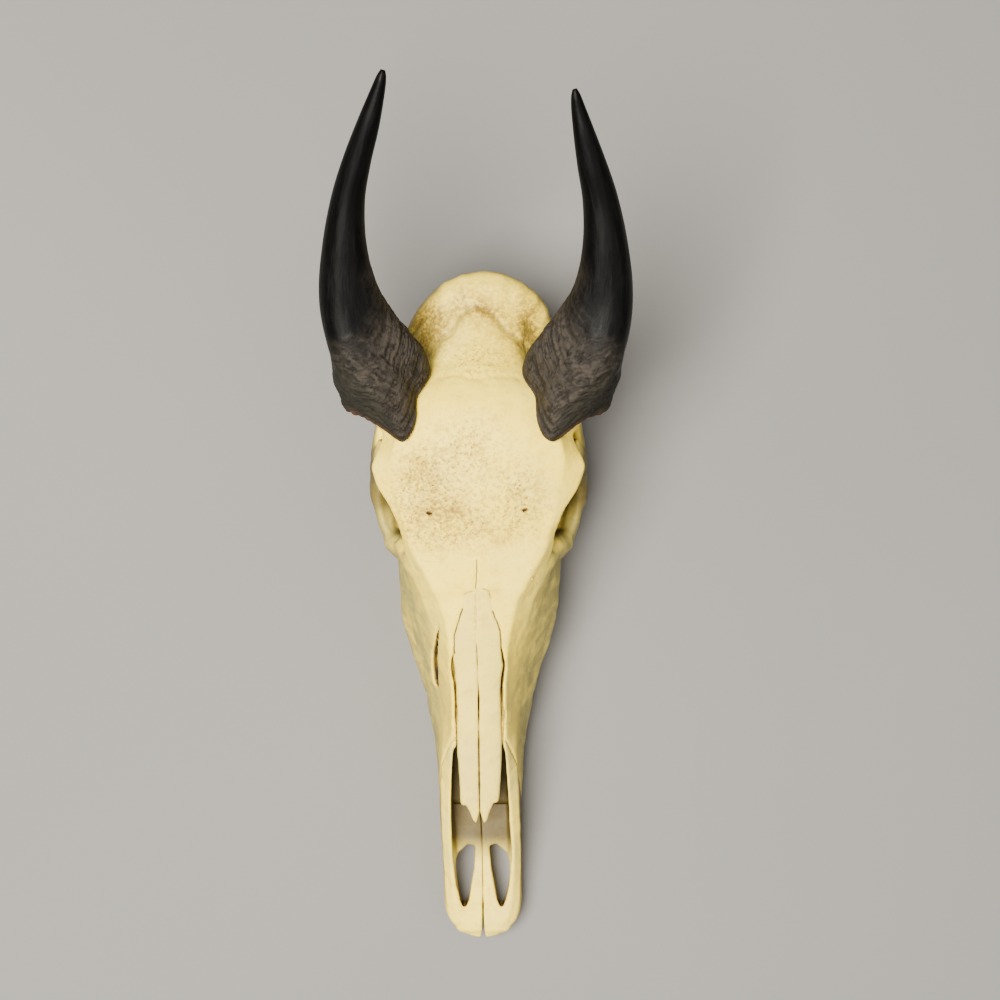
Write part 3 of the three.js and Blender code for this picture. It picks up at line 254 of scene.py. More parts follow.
braincase = loft([
    [28, [0, 108], [18, 102], [20, 84], [17, 58], [9, 44], [0, 44]],
    [46, [0, 115], [26, 108], [29, 86], [24, 56], [10, 42], [0, 42]],
    [66, [0, 121], [31, 110], [35, 86], [30, 54], [11, 40], [0, 40]],
    [84, [0, 120], [29, 109], [37, 86], [33, 52], [12, 38], [0, 38]],
    [102, [0, 112], [26, 103], [36, 82], [36, 50], [14, 35], [0, 35]],
    [118, [0, 104], [23, 98], [34, 78], [38, 50], [16, 34], [0, 34]],
    [132, [0, 99], [20, 94], [30, 76], [32, 50], [15, 36], [0, 36]],
    [140, [0, 95], [16, 91], [23, 76], [23, 52], [13, 40], [0, 40]],
])

# The wall between the eye sockets, down to the palatine bones.
septum = loft([
    [-8, [0, 104], [26, 98], [24, 70], [17, 34], [0, 32]],
    [12, [0, 108], [24, 100], [19, 72], [15, 36], [0, 34]],
    [34, [0, 108], [22, 98], [17, 72], [14, 42], [0, 40]],
    [52, [0, 108], [22, 98], [20, 72], [14, 44], [0, 42]],
])

# The crest at the back of the head. It leans a little to the left.
nuchal_crest = rod([
    [38, 104, 58, 8], [36.5, 115, 74, 8], [31, 127.5, 84.5, 8.5], [26, 133, 88.5, 8.8],
    [19.5, 137.2, 91, 9], [11, 140.2, 92.8, 9.5], [2, 141.2, 93.2, 9.5], [-6, 139.8, 93, 9.5],
    [-14, 136.3, 91.5, 9.2], [-21, 131.2, 88.5, 8.9], [-27, 125.3, 84.8, 8.5], [-35, 114, 74, 8],
    [-38, 104, 58, 8],
])

cheek_plate = ball([36.5, -12, 55], [7.5, 24, 15], [0, 8, -8])

cheek_rim = rod(
    [
        [43, -1, 60, 8], [50, 2, 58, 10.5], [52.7, 11, 56.5, 12.5], [56.4, 26, 58.5, 12],
        [57.4, 38, 67, 10], [56.6, 43.5, 80, 8.5], [52, 48.5, 97, 9.5],
    ],
    axis=[1, -0.3, 0], ratio=2.5,
)

# The front corner of the eye socket, between the forehead's edge and the rim.
eye_corner = rod([
    [35, -9, 84, 8], [41.5, -3.5, 75.5, 7], [47.5, -0.5, 65, 6.5],
])

cheek_arch = rod(
    [
        [57.5, 30, 60, 10], [57.5, 50, 56, 9.5], [54, 70, 55, 10], [48, 86, 56, 10], [40, 98, 57, 9],
    ],
    axis=[1, 0.1, 0], ratio=2.1,
)

horn_core = rod([
    [38, 62, 99, 12], [45, 72, 109, 13], [50.5, 83, 119, 13], [56, 96, 128.5, 12],
    [62, 112, 138.5, 10.5], [66.5, 134, 151, 8.5], [66.8, 152, 162, 6.5],
])

skull_base = rod([
    [0, 50, 46, 9], [0, 84, 43, 9], [0, 112, 40, 11], [0, 132, 42, 12],
])

# The processes behind the jaw joints. They reach the ground and are cut flat there.
muscular_process = rod(
    [
        [34, 114, 52, 11], [35, 120, 34, 9.5], [34, 121, 14, 7.5], [33, 119, 0, 6],
    ],
    axis=[1, 0.3, 0], ratio=1.7,
)

ear_bulla = ball([27, 97, 37], [8.5, 15, 13], [0, 0, 15])
condyle = ball([15.5, 139, 46], [10, 10, 14], [0, -15, 20])
jaw_joint_root = ball([46, 94, 56], [13, 9, 8])

pterygoid = rod(
    [
        [13.5, 4, 32, 5], [13, 26, 37, 5], [12, 40, 42, 5], [12.5, 36, 28, 4], [12, 32, 22, 3.2],
    ],
    axis=[1, 0, 0], ratio=1.6,
)

# The hollows

nose_hollow = loft(
    [
        [-217, [0, 44], [8, 44], [8, 34], [8, 28], [0, 28]],
        [-206, [0, 60], [11, 60], [12, 30], [11, 24], [0, 24]],
        [-190, [0, 80], [13.8, 80], [15, 30], [13, 24], [0, 24]],
        [-165, [0, 90], [13.3, 90], [15.5, 32], [14, 25], [0, 25]],
        [-140, [0, 100], [11.6, 100], [15, 34], [14, 27], [0, 27]],
        [-121, [0, 104], [10.5, 104], [14.5, 38], [14, 29], [0, 29]],
        [-116, [0, 70], [10.5, 68], [15, 40], [15, 30], [0, 28]],
        [-93, [0, 76], [9.5, 74], [18, 44], [17, 30], [0, 28]],
        [-61, [0, 87], [12, 84], [22, 52], [20, 32], [0, 30]],
        [-30, [0, 92], [14, 87], [24, 60], [18, 36], [0, 34]],
        [-8, [0, 90], [12, 86], [14, 66], [12, 40], [0, 38]],
    ],
    2,
)

throat = loft(
    [
        [-14, [0, 50], [8, 48], [9, 40], [8, 36], [0, 36]],
        [8, [0, 44], [9, 43], [9.5, 32], [9, 24], [0, 20]],
        [30, [0, 39], [8.5, 38], [9, 28], [8, 8], [0, 6]],
        [48, [0, 35], [8, 34], [8, 26], [7, 6], [0, 4]],
    ],
    2,
)

eye_socket = ball([52, 20, 85], [32, 25.5, 22.5], [0, 0, 18])
eye_room = ball([40, 18, 82.5], [21.5, 25, 21.5], [0, 0, 12])
eye_floor = ball([45, 9, 53], [11, 19, 7])
eye_apex = ball([34, 34, 80], [17, 22, 15], [0, 0, 30])
temple_hollow = ball([47, 70, 80], [10, 27, 27], [0, -8, 0])
temple_slope = ball([43, 104, 112], [15, 26, 22], [0, 25, 20])
brain_hollow = ball([0, 92, 76], [23, 34, 22])
brain_door = ball([0, 138, 62], [14, 22, 12])
palate_vault = loft(
    [
        [-200, [0, 12], [8, 10.5], [10, -4], [0, -4]],
        [-150, [0, 15], [10, 12], [13, -4], [0, -4]],
        [-100, [0, 19.5], [10, 16], [12, -4], [0, -4]],
        [-60, [0, 21], [13, 18], [16, -4], [0, -4]],
        [-10, [0, 23], [17, 19], [20, -4], [0, -4]],
        [16, [0, 24], [15, 20], [18, -4], [0, -4]],
    ],
    2,
)

# The window through the palate on each side of the bar in the muzzle's middle.
palate_window = prism(
    [
        [5.6, -182.7], [8, -182], [13.2, -186.5], [14.8, -190.5], [15.1, -197], [14.4, -204.5],
        [12.4, -213.5], [11, -216.6], [9.6, -213.6], [8, -204.5], [6.2, -194.5],
    ],
    -5,
    34,
    1.2,
)

infraorbital_hole = rod([
    [36, -92, 35, 3.5], [22, -84, 38, 3],
])

# The slit in front of the eye. Only the animal's right side has it open.
face_slit = rod(
    [
        [-21.6, -46.4, 87.5, 0.4], [-22.1, -55.5, 78.5, 1.1], [-23.9, -64.8, 69.5, 2.2],
        [-24.4, -73.8, 63.5, 3], [-24.2, -80.5, 59.4, 2.6],
    ],
    axis=[0.84, 0, -0.54], ratio=0.3,
)

CORES = add(pair(horn_core), 4)
BONE = [
    add(face, 0),
    add(muzzle_tip, 3),
    add(braincase, 6),
    add(forehead, 5),
    add(septum, 5),
    add(nuchal_crest, 6),
    add(pair(muscular_process), 5),
    add(skull_base, 5),
    add(pair(ear_bulla), 3),
    add(pair(pterygoid), 3),
    cut(pair(temple_slope), 6),
    cut(pair(temple_hollow), 5),
    cut(pair(eye_apex), 4),
    cut(pair(eye_socket), 3),
    add(pair(cheek_plate), 6),
    add(pair(cheek_rim), 4),
    cut(pair(eye_room), 3),
    add(pair(eye_floor), 3),
    add(pair(eye_corner), 3),
    add(pair(cheek_arch), 4),
    add(pair(jaw_joint_root), 4),
    CORES,
    add(pair(condyle), 3),
    cut(nose_hollow, 2),
    cut(palate_vault, 2),
    cut(throat, 2),
    cut(pair(palate_window), 1),
    cut(brain_hollow, 2),
    cut(brain_door, 3),
    cut(pair(infraorbital_hole), 2),
    cut(face_slit, 1),
]


# Smooth noise: random values, about -1 to 1, that change over size millimetres


def noise(points, size, seed=0):
    p = np.asarray(points, float) / size
    cell = np.floor(p).astype(np.int64)
    share = p - cell
    share = share * share * (3 - 2 * share)
    total = 0
    for corner in range(8):
        bits = [corner & 1, (corner >> 1) & 1, corner >> 2]
        mixed = np.full(len(p), seed * 2654435761 & 0xFFFFFFFF, np.int64)
        weight = 1
        for axis, prime in enumerate((73856093, 19349663, 83492791)):
            mixed ^= ((cell[:, axis] + bits[axis]) * prime) & 0xFFFFFFFF
            weight = weight * (share[:, axis] if bits[axis] else 1 - share[:, axis])
        mixed = ((mixed ^ (mixed >> 13)) * 1274126177) & 0xFFFFFFFF
        mixed = ((mixed ^ (mixed >> 16)) * 668265263) & 0xFFFFFFFF
        total = total + weight * (((mixed >> 8) & 0xFFFF) / 32767.5 - 1)
    return total


def layered(points, size, layers=3, seed=0):
    return sum(noise(points, size / 2**i, seed + i) / 2**i for i in range(layers))


def smooth_step(value, low, high):
    t = np.clip((value - low) / (high - low), 0, 1)
    return t * t * (3 - 2 * t)


def smooth_most(a, b, blend):
    return -blended(-a, -b, blend)


# Grids of distances, and the skin over their zero surface


def blended(a, b, blend):
    least = np.minimum(a, b)
    if blend > 0:
        least = least - np.maximum(blend - np.abs(a - b), 0) ** 2 / (4 * blend)
    return least


def axes_of(low, high, step):
    return [np.arange(math.floor(a / step) * step - step / 2, b + step, step) for a, b in zip(low, high)]


def block(axes, low, high):
    """The part of a grid between two corners."""
    return tuple(slice(*np.searchsorted(axis, span)) for axis, span in zip(axes, zip(low, high)))


def field_on(axes, operations):
    values = np.full([len(a) for a in axes], FAR, np.float32)
    step = axes[0][1] - axes[0][0]
    for (low, high, at), blend, sign in operations:
        margin = blend + max(3 * step, 6)
        spans = block(axes, low - margin, high + margin)
        if any(s.start >= s.stop for s in spans):
            continue
        x, y, z = np.ix_(*[axis[s].astype(np.float32) for axis, s in zip(axes, spans)])
        values[spans] = sign * blended(sign * values[spans], at(x, y, z), blend)
    return values


def sample(values, axes, points):
    step = axes[0][1] - axes[0][0]
    g = (points - [a[0] for a in axes]) / step
    g = np.clip(g, 0, np.array(values.shape) - 1.001)
    cell = g.astype(int)
    share = g - cell
    total = 0
    for corner in range(8):
        bits = [corner & 1, (corner >> 1) & 1, corner >> 2]
        weight = 1
        for axis in range(3):
            weight = weight * (share[:, axis] if bits[axis] else 1 - share[:, axis])
        total = total + weight * values[tuple(cell[:, axis] + bits[axis] for axis in range(3))]
    return total


def slope_at(values, axes, points):
    step = axes[0][1] - axes[0][0]
    slope = np.stack(
        [
            sample(values, axes, points + step * unit) - sample(values, axes, points - step * unit)
            for unit in 0.6 * np.eye(3)
        ],
        1,
    )
    return slope / 1.2 / step


def skin(values, axes):
    """A quad for each grid edge that crosses the zero surface, with a corner in each cell on it."""
    low = np.array([a[0] for a in axes])
    step = axes[0][1] - axes[0][0]
    inside = values < 0
    corners = [(i, j, k) for i in (0, 1) for j in (0, 1) for k in (0, 1)]
    n = values.shape
    count = np.zeros([m - 1 for m in n], np.int8)
    for i, j, k in corners:
        count += inside[i : n[0] - 1 + i, j : n[1] - 1 + j, k : n[2] - 1 + k]
    cells = np.argwhere((count > 0) & (count < 8))
    names = np.full(count.shape, -1, np.int32)
    names[tuple(cells.T)] = np.arange(len(cells))
    at = np.stack([values[cells[:, 0] + i, cells[:, 1] + j, cells[:, 2] + k] for i, j, k in corners], 1)
    total = np.zeros((len(cells), 3))
    hits = np.zeros(len(cells))
    for a, start in enumerate(corners):
        for axis in range(3):
            if start[axis]:
                continue
            b = a + (4, 2, 1)[axis]
            crossed = (at[:, a] < 0) != (at[:, b] < 0)
            gap = np.where(crossed, at[:, a] - at[:, b], 1)
            point = np.tile(np.array(start, float), (len(cells), 1))
            point[:, axis] += at[:, a] / gap
            total += np.where(crossed[:, None], point, 0)
            hits += crossed
    points = low + (cells + total / hits[:, None]) * step
    quads = []
    for axis in range(3):
        second, third = (axis + 1) % 3, (axis + 2) % 3
        first = np.moveaxis(inside, axis, 0)
        edges = np.argwhere(np.moveaxis(first[:-1] != first[1:], 0, axis))
        edges = edges[(edges[:, second] > 0) & (edges[:, third] > 0)]
        ring = []
        for u, v in ((1, 1), (0, 1), (0, 0), (1, 0)):
            cell = edges.copy()
            cell[:, second] -= u
            cell[:, third] -= v
            ring.append(names[tuple(np.minimum(cell, np.array(names.shape) - 1).T)])
        ring = np.stack(ring, 1)
        leaving = inside[tuple(edges.T)]
        quads.append(np.where(leaving[:, None], ring, ring[:, ::-1]))
    quads = np.concatenate(quads)
    return points, quads[(quads >= 0).all(1)]


def settle(points, quads, values, axes, rounds):
    """Evens the corners out along the surface and brings them back onto it."""
    pairs = np.concatenate([quads[:, [i, (i + 1) % 4]] for i in range(4)])
    for _ in range(rounds):
        sums = np.stack(
            [np.bincount(pairs[:, 0], points[pairs[:, 1], i], len(points)) for i in range(3)], 1
        ) + np.stack([np.bincount(pairs[:, 1], points[pairs[:, 0], i], len(points)) for i in range(3)], 1)
        counts = np.bincount(pairs.ravel(), minlength=len(points))[:, None]
        points = 0.5 * points + 0.5 * sums / np.maximum(counts, 1)
        points = drawn_back(points, values, axes)
    return points


def drawn_back(points, values, axes):
    slope = slope_at(values, axes, points)
    steep = np.maximum((slope**2).sum(1, keepdims=True), 0.05)
    move = slope * (sample(values, axes, points)[:, None] / steep)
    size = np.linalg.norm(move, axis=1, keepdims=True)
    return points - move * np.minimum(1, 0.6 / np.maximum(size, 1e-9))


# Meshes


def mesh_of(name, points, faces):
    faces = np.asarray(faces, np.int32)
    mesh = bpy.data.meshes.new(name)
    mesh.vertices.add(len(points))
    mesh.vertices.foreach_set("co", np.asarray(points, np.float32).ravel())
    mesh.loops.add(faces.size)
    mesh.loops.foreach_set("vertex_index", faces.ravel())
    mesh.polygons.add(len(faces))
    mesh.polygons.foreach_set("loop_start", np.arange(0, faces.size, faces.shape[1], dtype=np.int32))
    mesh.update(calc_edges=True)
    mesh.shade_smooth()
    piece = bpy.data.objects.new(name, mesh)
    bpy.context.scene.collection.objects.link(piece)
    return piece


def points_of(piece):
    flat = np.empty(3 * len(piece.data.vertices), np.float32)
    piece.data.vertices.foreach_get("co", flat)
    return flat.reshape(-1, 3).astype(float)


def normals_of(piece):
    flat = np.empty(3 * len(piece.data.vertices), np.float32)
    piece.data.vertex_normals.foreach_get("vector", flat)
    return flat.reshape(-1, 3).astype(float)


def set_points(piece, points):
    piece.data.vertices.foreach_set("co", np.asarray(points, np.float32).ravel())
    piece.data.update()


def refine(piece, wanted):
    """Splits the faces whose corners are all wanted."""
    mark = wanted(points_of(piece))
    mesh = bmesh.new()
    mesh.from_mesh(piece.data)
    mesh.verts.ensure_lookup_table()
    edges = [e for e in mesh.edges if mark[e.verts[0].index] and mark[e.verts[1].index]]
    bmesh.ops.subdivide_edges(mesh, edges=edges, cuts=1, use_grid_fill=True)
    mesh.to_mesh(piece.data)
    mesh.free()
    piece.data.shade_smooth()


def thin_out(piece, most, hidden):
    """Collapses the flattest edges where the skin is hidden, until few enough triangles are left."""
    piece.data.calc_loop_triangles()
    count = len(piece.data.loop_triangles)
    if count <= most:
        return
    group = piece.vertex_groups.new(name="hidden")
    for level in (0.1, 1.0):
        chosen = np.flatnonzero(np.isclose(hidden, level))
        if len(chosen):
            group.add(chosen.tolist(), level, "REPLACE")
    modifier = piece.modifiers.new("thin", "DECIMATE")
    modifier.ratio = most / count
    modifier.vertex_group = "hidden"
    modifier.vertex_group_factor = 1
    graph = bpy.context.evaluated_depsgraph_get()
    thinned = bpy.data.meshes.new_from_object(piece.evaluated_get(graph))
    piece.modifiers.clear()
    piece.vertex_groups.clear()
    piece.data = thinned
    piece.data.shade_smooth()


def give(piece, name, values):
    """A value, or a vector, for each corner, for the materials to read."""
    values = np.asarray(values, np.float32)
    kind = "FLOAT" if values.ndim == 1 else "FLOAT_VECTOR"
    attribute = piece.data.attributes.new(name, kind, "POINT")
    attribute.data.foreach_set("value" if values.ndim == 1 else "vector", values.ravel())


# The muzzle bends to the animal's left, by x at each y.
SWAY = ([-238, -185, -160, -120], [2.1, 1.5, 0.5, 0.0])


def finish_piece(piece, material, node):
    points = points_of(piece)
    points[:, 0] += curve_at(*SWAY, points[:, 1])
    set_points(piece, (points - MIDDLE) / 1000)
    piece.data.materials.clear()
    piece.data.materials.append(material)
    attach(piece, "root")
    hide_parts(node)


# Lines and marks on the bone, in plan


def line_distance(points, line):
    """From each point to a bent line, in plan."""
    nearest = np.full(len(points), FAR)
    line = np.array(line, float)
    for a, b in zip(line[:-1], line[1:]):
        d = b - a
        t = np.clip(((points[:, :2] - a) @ d) / (d @ d), 0, 1)
        nearest = np.minimum(nearest, np.linalg.norm(points[:, :2] - a - t[:, None] * d, axis=1))
    return nearest


# Each suture: its line, width, depth, how far it wanders, and how dark it is painted. The wide lines behind
# the horns are grooves, and their darkness is painted shade.
SUTURES = [
    ([[-0.6, -9], [-0.9, -18], [-1.4, -25]], 0.4, 0.4, 0.25, 0.8),
    ([[-7.9, -28.9], [-5.6, -27.5], [-3.2, -26.9]], 0.5, 0.45, 0.2, 0.6),
    ([[2.6, -25.2], [5.9, -26.6], [7.0, -30.6]], 0.5, 0.45, 0.2, 0.6),
    ([[-8.8, -36.5], [-13.6, -52.3], [-13.5, -62]], 0.45, 0.4, 0.2, 0.95),
    ([[7.9, -37.9], [12.2, -49.4], [12.8, -60.3], [14, -67.8]], 0.45, 0.4, 0.2, 0.95),
    ([[-9.5, -6], [-4, -8.5], [3, -6.5], [9, -9]], 0.8, 0.3, 0.8, 0.2),
    (
        [[4.8, 128.8], [0.2, 129.9], [-4.5, 128.7], [-9.5, 124.9], [-11.7, 120.4], [-16, 114.8]],
        2.2, 1.2, 0.6, 0.5,
    ),
    ([[-16, 114.8], [-22.1, 111.3], [-26.7, 103.6]], 2.0, 1.1, 0.6, 0.45),
    ([[4.8, 128.8], [10.3, 122.6], [15.8, 115.9], [24.1, 110.3], [28.1, 105.6]], 2.2, 1.2, 0.6, 0.5),
    ([[-36.7, 116.4], [-30.5, 124.7]], 1.6, 1.2, 0.4, 0.6),
    ([[-20.6, 90.3], [-12, 91.5], [-3, 89.5], [8, 91], [22.9, 90.3]], 1.6, 0.5, 1.2, 0.2),
    ([[-47, 29], [-44.5, 16], [-45, 4.7], [-47.8, 0.7]], 0.8, 0.5, 0.4, 0.3),
]
# Each foramen: its middle, half length, half width, turn in degrees and depth.
FORAMINA = [
    ([-26.6, 16.0], 1.8, 1.0, -18, 3.0),
    ([25.5, 17.8], 1.8, 1.0, 18, 3.0),
    ([22.6, 31.1], 0.7, 0.5, 0, 1.0),
    ([-24.2, 31.6], 0.7, 0.5, 0, 1.0),
    ([29.1, -15.0], 0.7, 0.5, 30, 1.0),
    ([29.1, -20.1], 0.6, 0.5, 0, 1.0),
]


def foramen_reach(points, foramen):
    """How far out each point is, as a share of the foramen's size."""
    middle, length, width, turn, _ = foramen
    offset = points[:, :2] - middle
    c, s = math.cos(math.radians(turn)), math.sin(math.radians(turn))
    along = offset[:, 0] * c + offset[:, 1] * s
    across = offset[:, 1] * c - offset[:, 0] * s
    return np.hypot(along / length, across / width)


def near_marks(points, reach):
    """Which points are over one of the sutures or foramina."""
    near = np.zeros(len(points), bool)
    for line, width, _, wander, _ in SUTURES:
        near |= line_distance(points, line) < 0.8 * width + wander + reach
    for foramen in FORAMINA:
        near |= foramen_reach(points, foramen) < 1 + reach / foramen[1]
    return near & (points[:, 2] > 60)


def crease_at(points):
    """How deep each point lies in a suture or foramen, from 0 to 1, and how far it is pushed in. The first
    is painted dark: as the dark lines of the sutures, and as painted shade in the foramina and the wide
    grooves behind the horns.
    """
    shade = np.zeros(len(points))
    push = np.zeros(len(points))
    upper = smooth_step(points[:, 2], 55, 62)
    jitter = np.stack([noise(points, 2.2, 51), noise(points, 2.2, 52)], 1)
    for line, width, depth, wander, tone in SUTURES:
        moved = points[:, :2] + wander * jitter
        form = np.exp(-((line_distance(moved, line) / width) ** 2)) * upper
        shade = np.maximum(shade, form * tone)
        push += depth * form
    for foramen in FORAMINA:
        reach = foramen_reach(points + 0.25 * np.pad(jitter, ((0, 0), (0, 1))), foramen)
        form = (1 - smooth_step(reach, 0.55, 1.25)) * upper
        shade = np.maximum(shade, form)
        push += foramen[4] * form - 0.35 * np.exp(-(((reach - 1.7) / 0.5) ** 2)) * upper
    return shade, push


def spot_at(points, x, y, wide, long):
    """A soft spot in plan: 1 in its middle, less than 0.4 beyond its half width and half length."""
    return np.exp(-(((points[:, 0] - x) / wide) ** 2 + ((points[:, 1] - y) / long) ** 2))


# Porous spots of the forehead: the middle in plan, half width and half length
POROUS = [
    (-27, 22, 16, 22), (-8, 10, 26, 12), (-6, 48, 19, 20),
    (-34, 30, 10, 22), (24, 24, 13, 18), (0, 100, 16, 10),
]


def grain_at(points, normals):
    """Where the forehead is porous, from 0 to 1."""
    total = 0
    for spot in POROUS:
        total = total + spot_at(points, *spot)
    return np.clip(total, 0, 1) * smooth_step(normals[:, 2], 0.3, 0.8) * smooth_step(points[:, 2], 90, 100)


def hollowness(points, normals, values, axes):
    """How enclosed each point is, from 0 to 1."""
    total = 0
    for length, weight in ((2.5, 0.3), (6, 0.4), (14, 0.3)):
        clear = sample(values, axes, points + length * normals) / length
        total = total + weight * np.clip(1 - clear, 0, 1)
    return total


# Materials


class Shader:
    """A node material, with the few node kinds that the finishes need."""

    def __init__(self, name):
        self.material = bpy.data.materials.new(name)
        self.material.use_nodes = True
        self.tree = self.material.node_tree
        self.surface = self.tree.nodes["Principled BSDF"]
        self.place = self.tree.nodes.new("ShaderNodeTexCoord").outputs["Object"]

    def set(self, socket, value):
        if isinstance(value, bpy.types.NodeSocket):
            self.tree.links.new(value, socket)
        elif isinstance(value, tuple) and len(value) == 3 and socket.type == "RGBA":
            socket.default_value = (*value, 1)
        else:
            socket.default_value = value

    def node(self, kind, inputs, output=0, **settings):
        node = self.tree.nodes.new("ShaderNode" + kind)
        for key, value in settings.items():
            setattr(node, key, value)
        for key, value in inputs.items():
            self.set(node.inputs[key], value)
        return node.outputs[output]

    def attribute(self, name, output="Fac"):
        return self.node("Attribute", {}, output, attribute_name=name)

    def math(self, operation, a, b=0.0):
        return self.node("Math", {0: a, 1: b}, operation=operation)

    def stretched(self, scale, place=None):
        place = self.place if place is None else place
        return self.node("VectorMath", {0: place, 1: scale}, operation="MULTIPLY")

    def noise(self, size, detail=3.0, rough=0.55, place=None, twist=0.0):
        """Noise from 0 to 1, with features of that size in millimetres."""
        inputs = {
            "Vector": self.place if place is None else place,
            "Scale": 1000 / size,
            "Detail": detail,
            "Roughness": rough,
            "Distortion": twist,
        }
        return self.node("TexNoise", inputs)

    def cells(self, size):
        """Distance to the nearest of scattered points, about that many millimetres apart."""
        return self.node("TexVoronoi", {"Vector": self.place, "Scale": 1000 / size}, "Distance")

    def step(self, value, low, high, start=0.0, end=1.0):
        inputs = {"Value": value, "From Min": low, "From Max": high, "To Min": start, "To Max": end}
        return self.node("MapRange", inputs, interpolation_type="SMOOTHSTEP")

    def mix(self, share, a, b):
        node = self.tree.nodes.new("ShaderNodeMix")
        node.data_type = "RGBA"
        for key, value in ((0, share), (6, a), (7, b)):
            self.set(node.inputs[key], value)
        return node.outputs[2]

    def bump(self, height, depth, strength=1.0, below=None):
        """depth is in millimetres, for a height from 0 to 1."""
        inputs = {"Height": height, "Distance": depth / 1000, "Strength": strength}
        if below is not None:
            inputs["Normal"] = below
        return self.node("Bump", inputs)


def srgb(red, green, blue):
    """A colour as seen, from 0 to 255, in linear light."""
    seen = (red, green, blue)
    return tuple(((c / 255 + 0.055) / 1.055) ** 2.4 if c > 10 else c / 255 / 12.92 for c in seen)


def bone_material(name, clean, grey, tan, deep):
    s = Shader(name)
    hollow, crease, grain = s.attribute("hollow"), s.attribute("crease"), s.attribute("grain")
    # side holds the walls' olive stain and painted shade; dark holds the painted shade deep in the hollows.
    side, stain_and_shade, dark = s.attribute("side"), s.attribute("stain_and_shade"), s.attribute("dark")
    clouds = s.noise(38, 4, 0.6)
    blotch = s.noise(9, 4, 0.6, twist=0.6)
    fine = s.noise(2.2, 5, 0.65)
    dust = s.noise(0.7, 3, 0.6)
    pores = s.cells(1.9)
    colour = s.mix(s.step(clouds, 0.42, 0.66), clean, grey)
    colour = s.mix(s.step(blotch, 0.5, 0.8, 0, 0.4), colour, tan)
    colour = s.mix(s.step(fine, 0.52, 0.75, 0, 0.3), colour, tan)
    # The side walls painted olive: olive stain with painted shade on the steep walls, and painted shade on
    # the eye socket's rim.
    wall_stain_and_shade = s.math("MULTIPLY", side, s.step(blotch, 0.3, 0.6, 0.75, 1))
    colour = s.mix(wall_stain_and_shade, colour, srgb(128, 119, 68))
    # Stains, and painted shade on the back of the head, mottled by the fine noise.
    spongy_stain_and_shade = s.math("MULTIPLY", stain_and_shade, s.step(fine, 0.35, 0.6, 0.35, 1))
    colour = s.mix(spongy_stain_and_shade, colour, srgb(146, 116, 34))
    # Painted shade in the hollows: darker the more enclosed the bone is, broken up by the blotch noise.
    hollow_shade = s.math("ADD", hollow, s.math("MULTIPLY", s.math("SUBTRACT", blotch, 0.5), 0.35))
    colour = s.mix(s.step(hollow_shade, 0.3, 0.62, 0, 0.8), colour, tan)
    colour = s.mix(s.step(hollow_shade, 0.55, 0.95), colour, deep)
    pits = s.math("MULTIPLY", s.step(pores, 0.15, 0.45, 1, 0), grain)
    pits = s.math("MULTIPLY", pits, s.step(fine, 0.3, 0.6))
    worn = s.math("MULTIPLY", s.step(fine, 0.47, 0.6, 0, 0.6), grain)
    colour = s.mix(worn, colour, srgb(172, 138, 44))
    colour = s.mix(s.math("MULTIPLY", pits, 0.55), colour, srgb(96, 72, 20))
    # Painted shade deep in the nose and the eye sockets, on the eye socket's rim and in the face slit,
    # nearly black where it is deepest.
    colour = s.mix(dark, colour, srgb(60, 46, 18))
    colour = s.mix(s.step(dark, 0.97, 1.0), colour, srgb(26, 18, 8))
    # The dark lines of the sutures, and painted shade in the foramina and the wide grooves.
    colour = s.mix(s.step(crease, 0.15, 0.8, 0, 0.92), colour, deep)
    s.set(s.surface.inputs["Base Color"], colour)
    s.set(s.surface.inputs["Roughness"], s.step(s.math("ADD", blotch, dust), 0.6, 1.4, 0.5, 0.78))
    relief = s.bump(fine, 0.25, 0.7)
    relief = s.bump(dust, 0.08, 0.6, relief)
    relief = s.bump(s.math("SUBTRACT", 1.0, pits), 0.3, 0.8, relief)
    s.set(s.surface.inputs["Normal"], relief)
    s.surface.inputs["Specular IOR Level"].default_value = 0.4
    return s.material


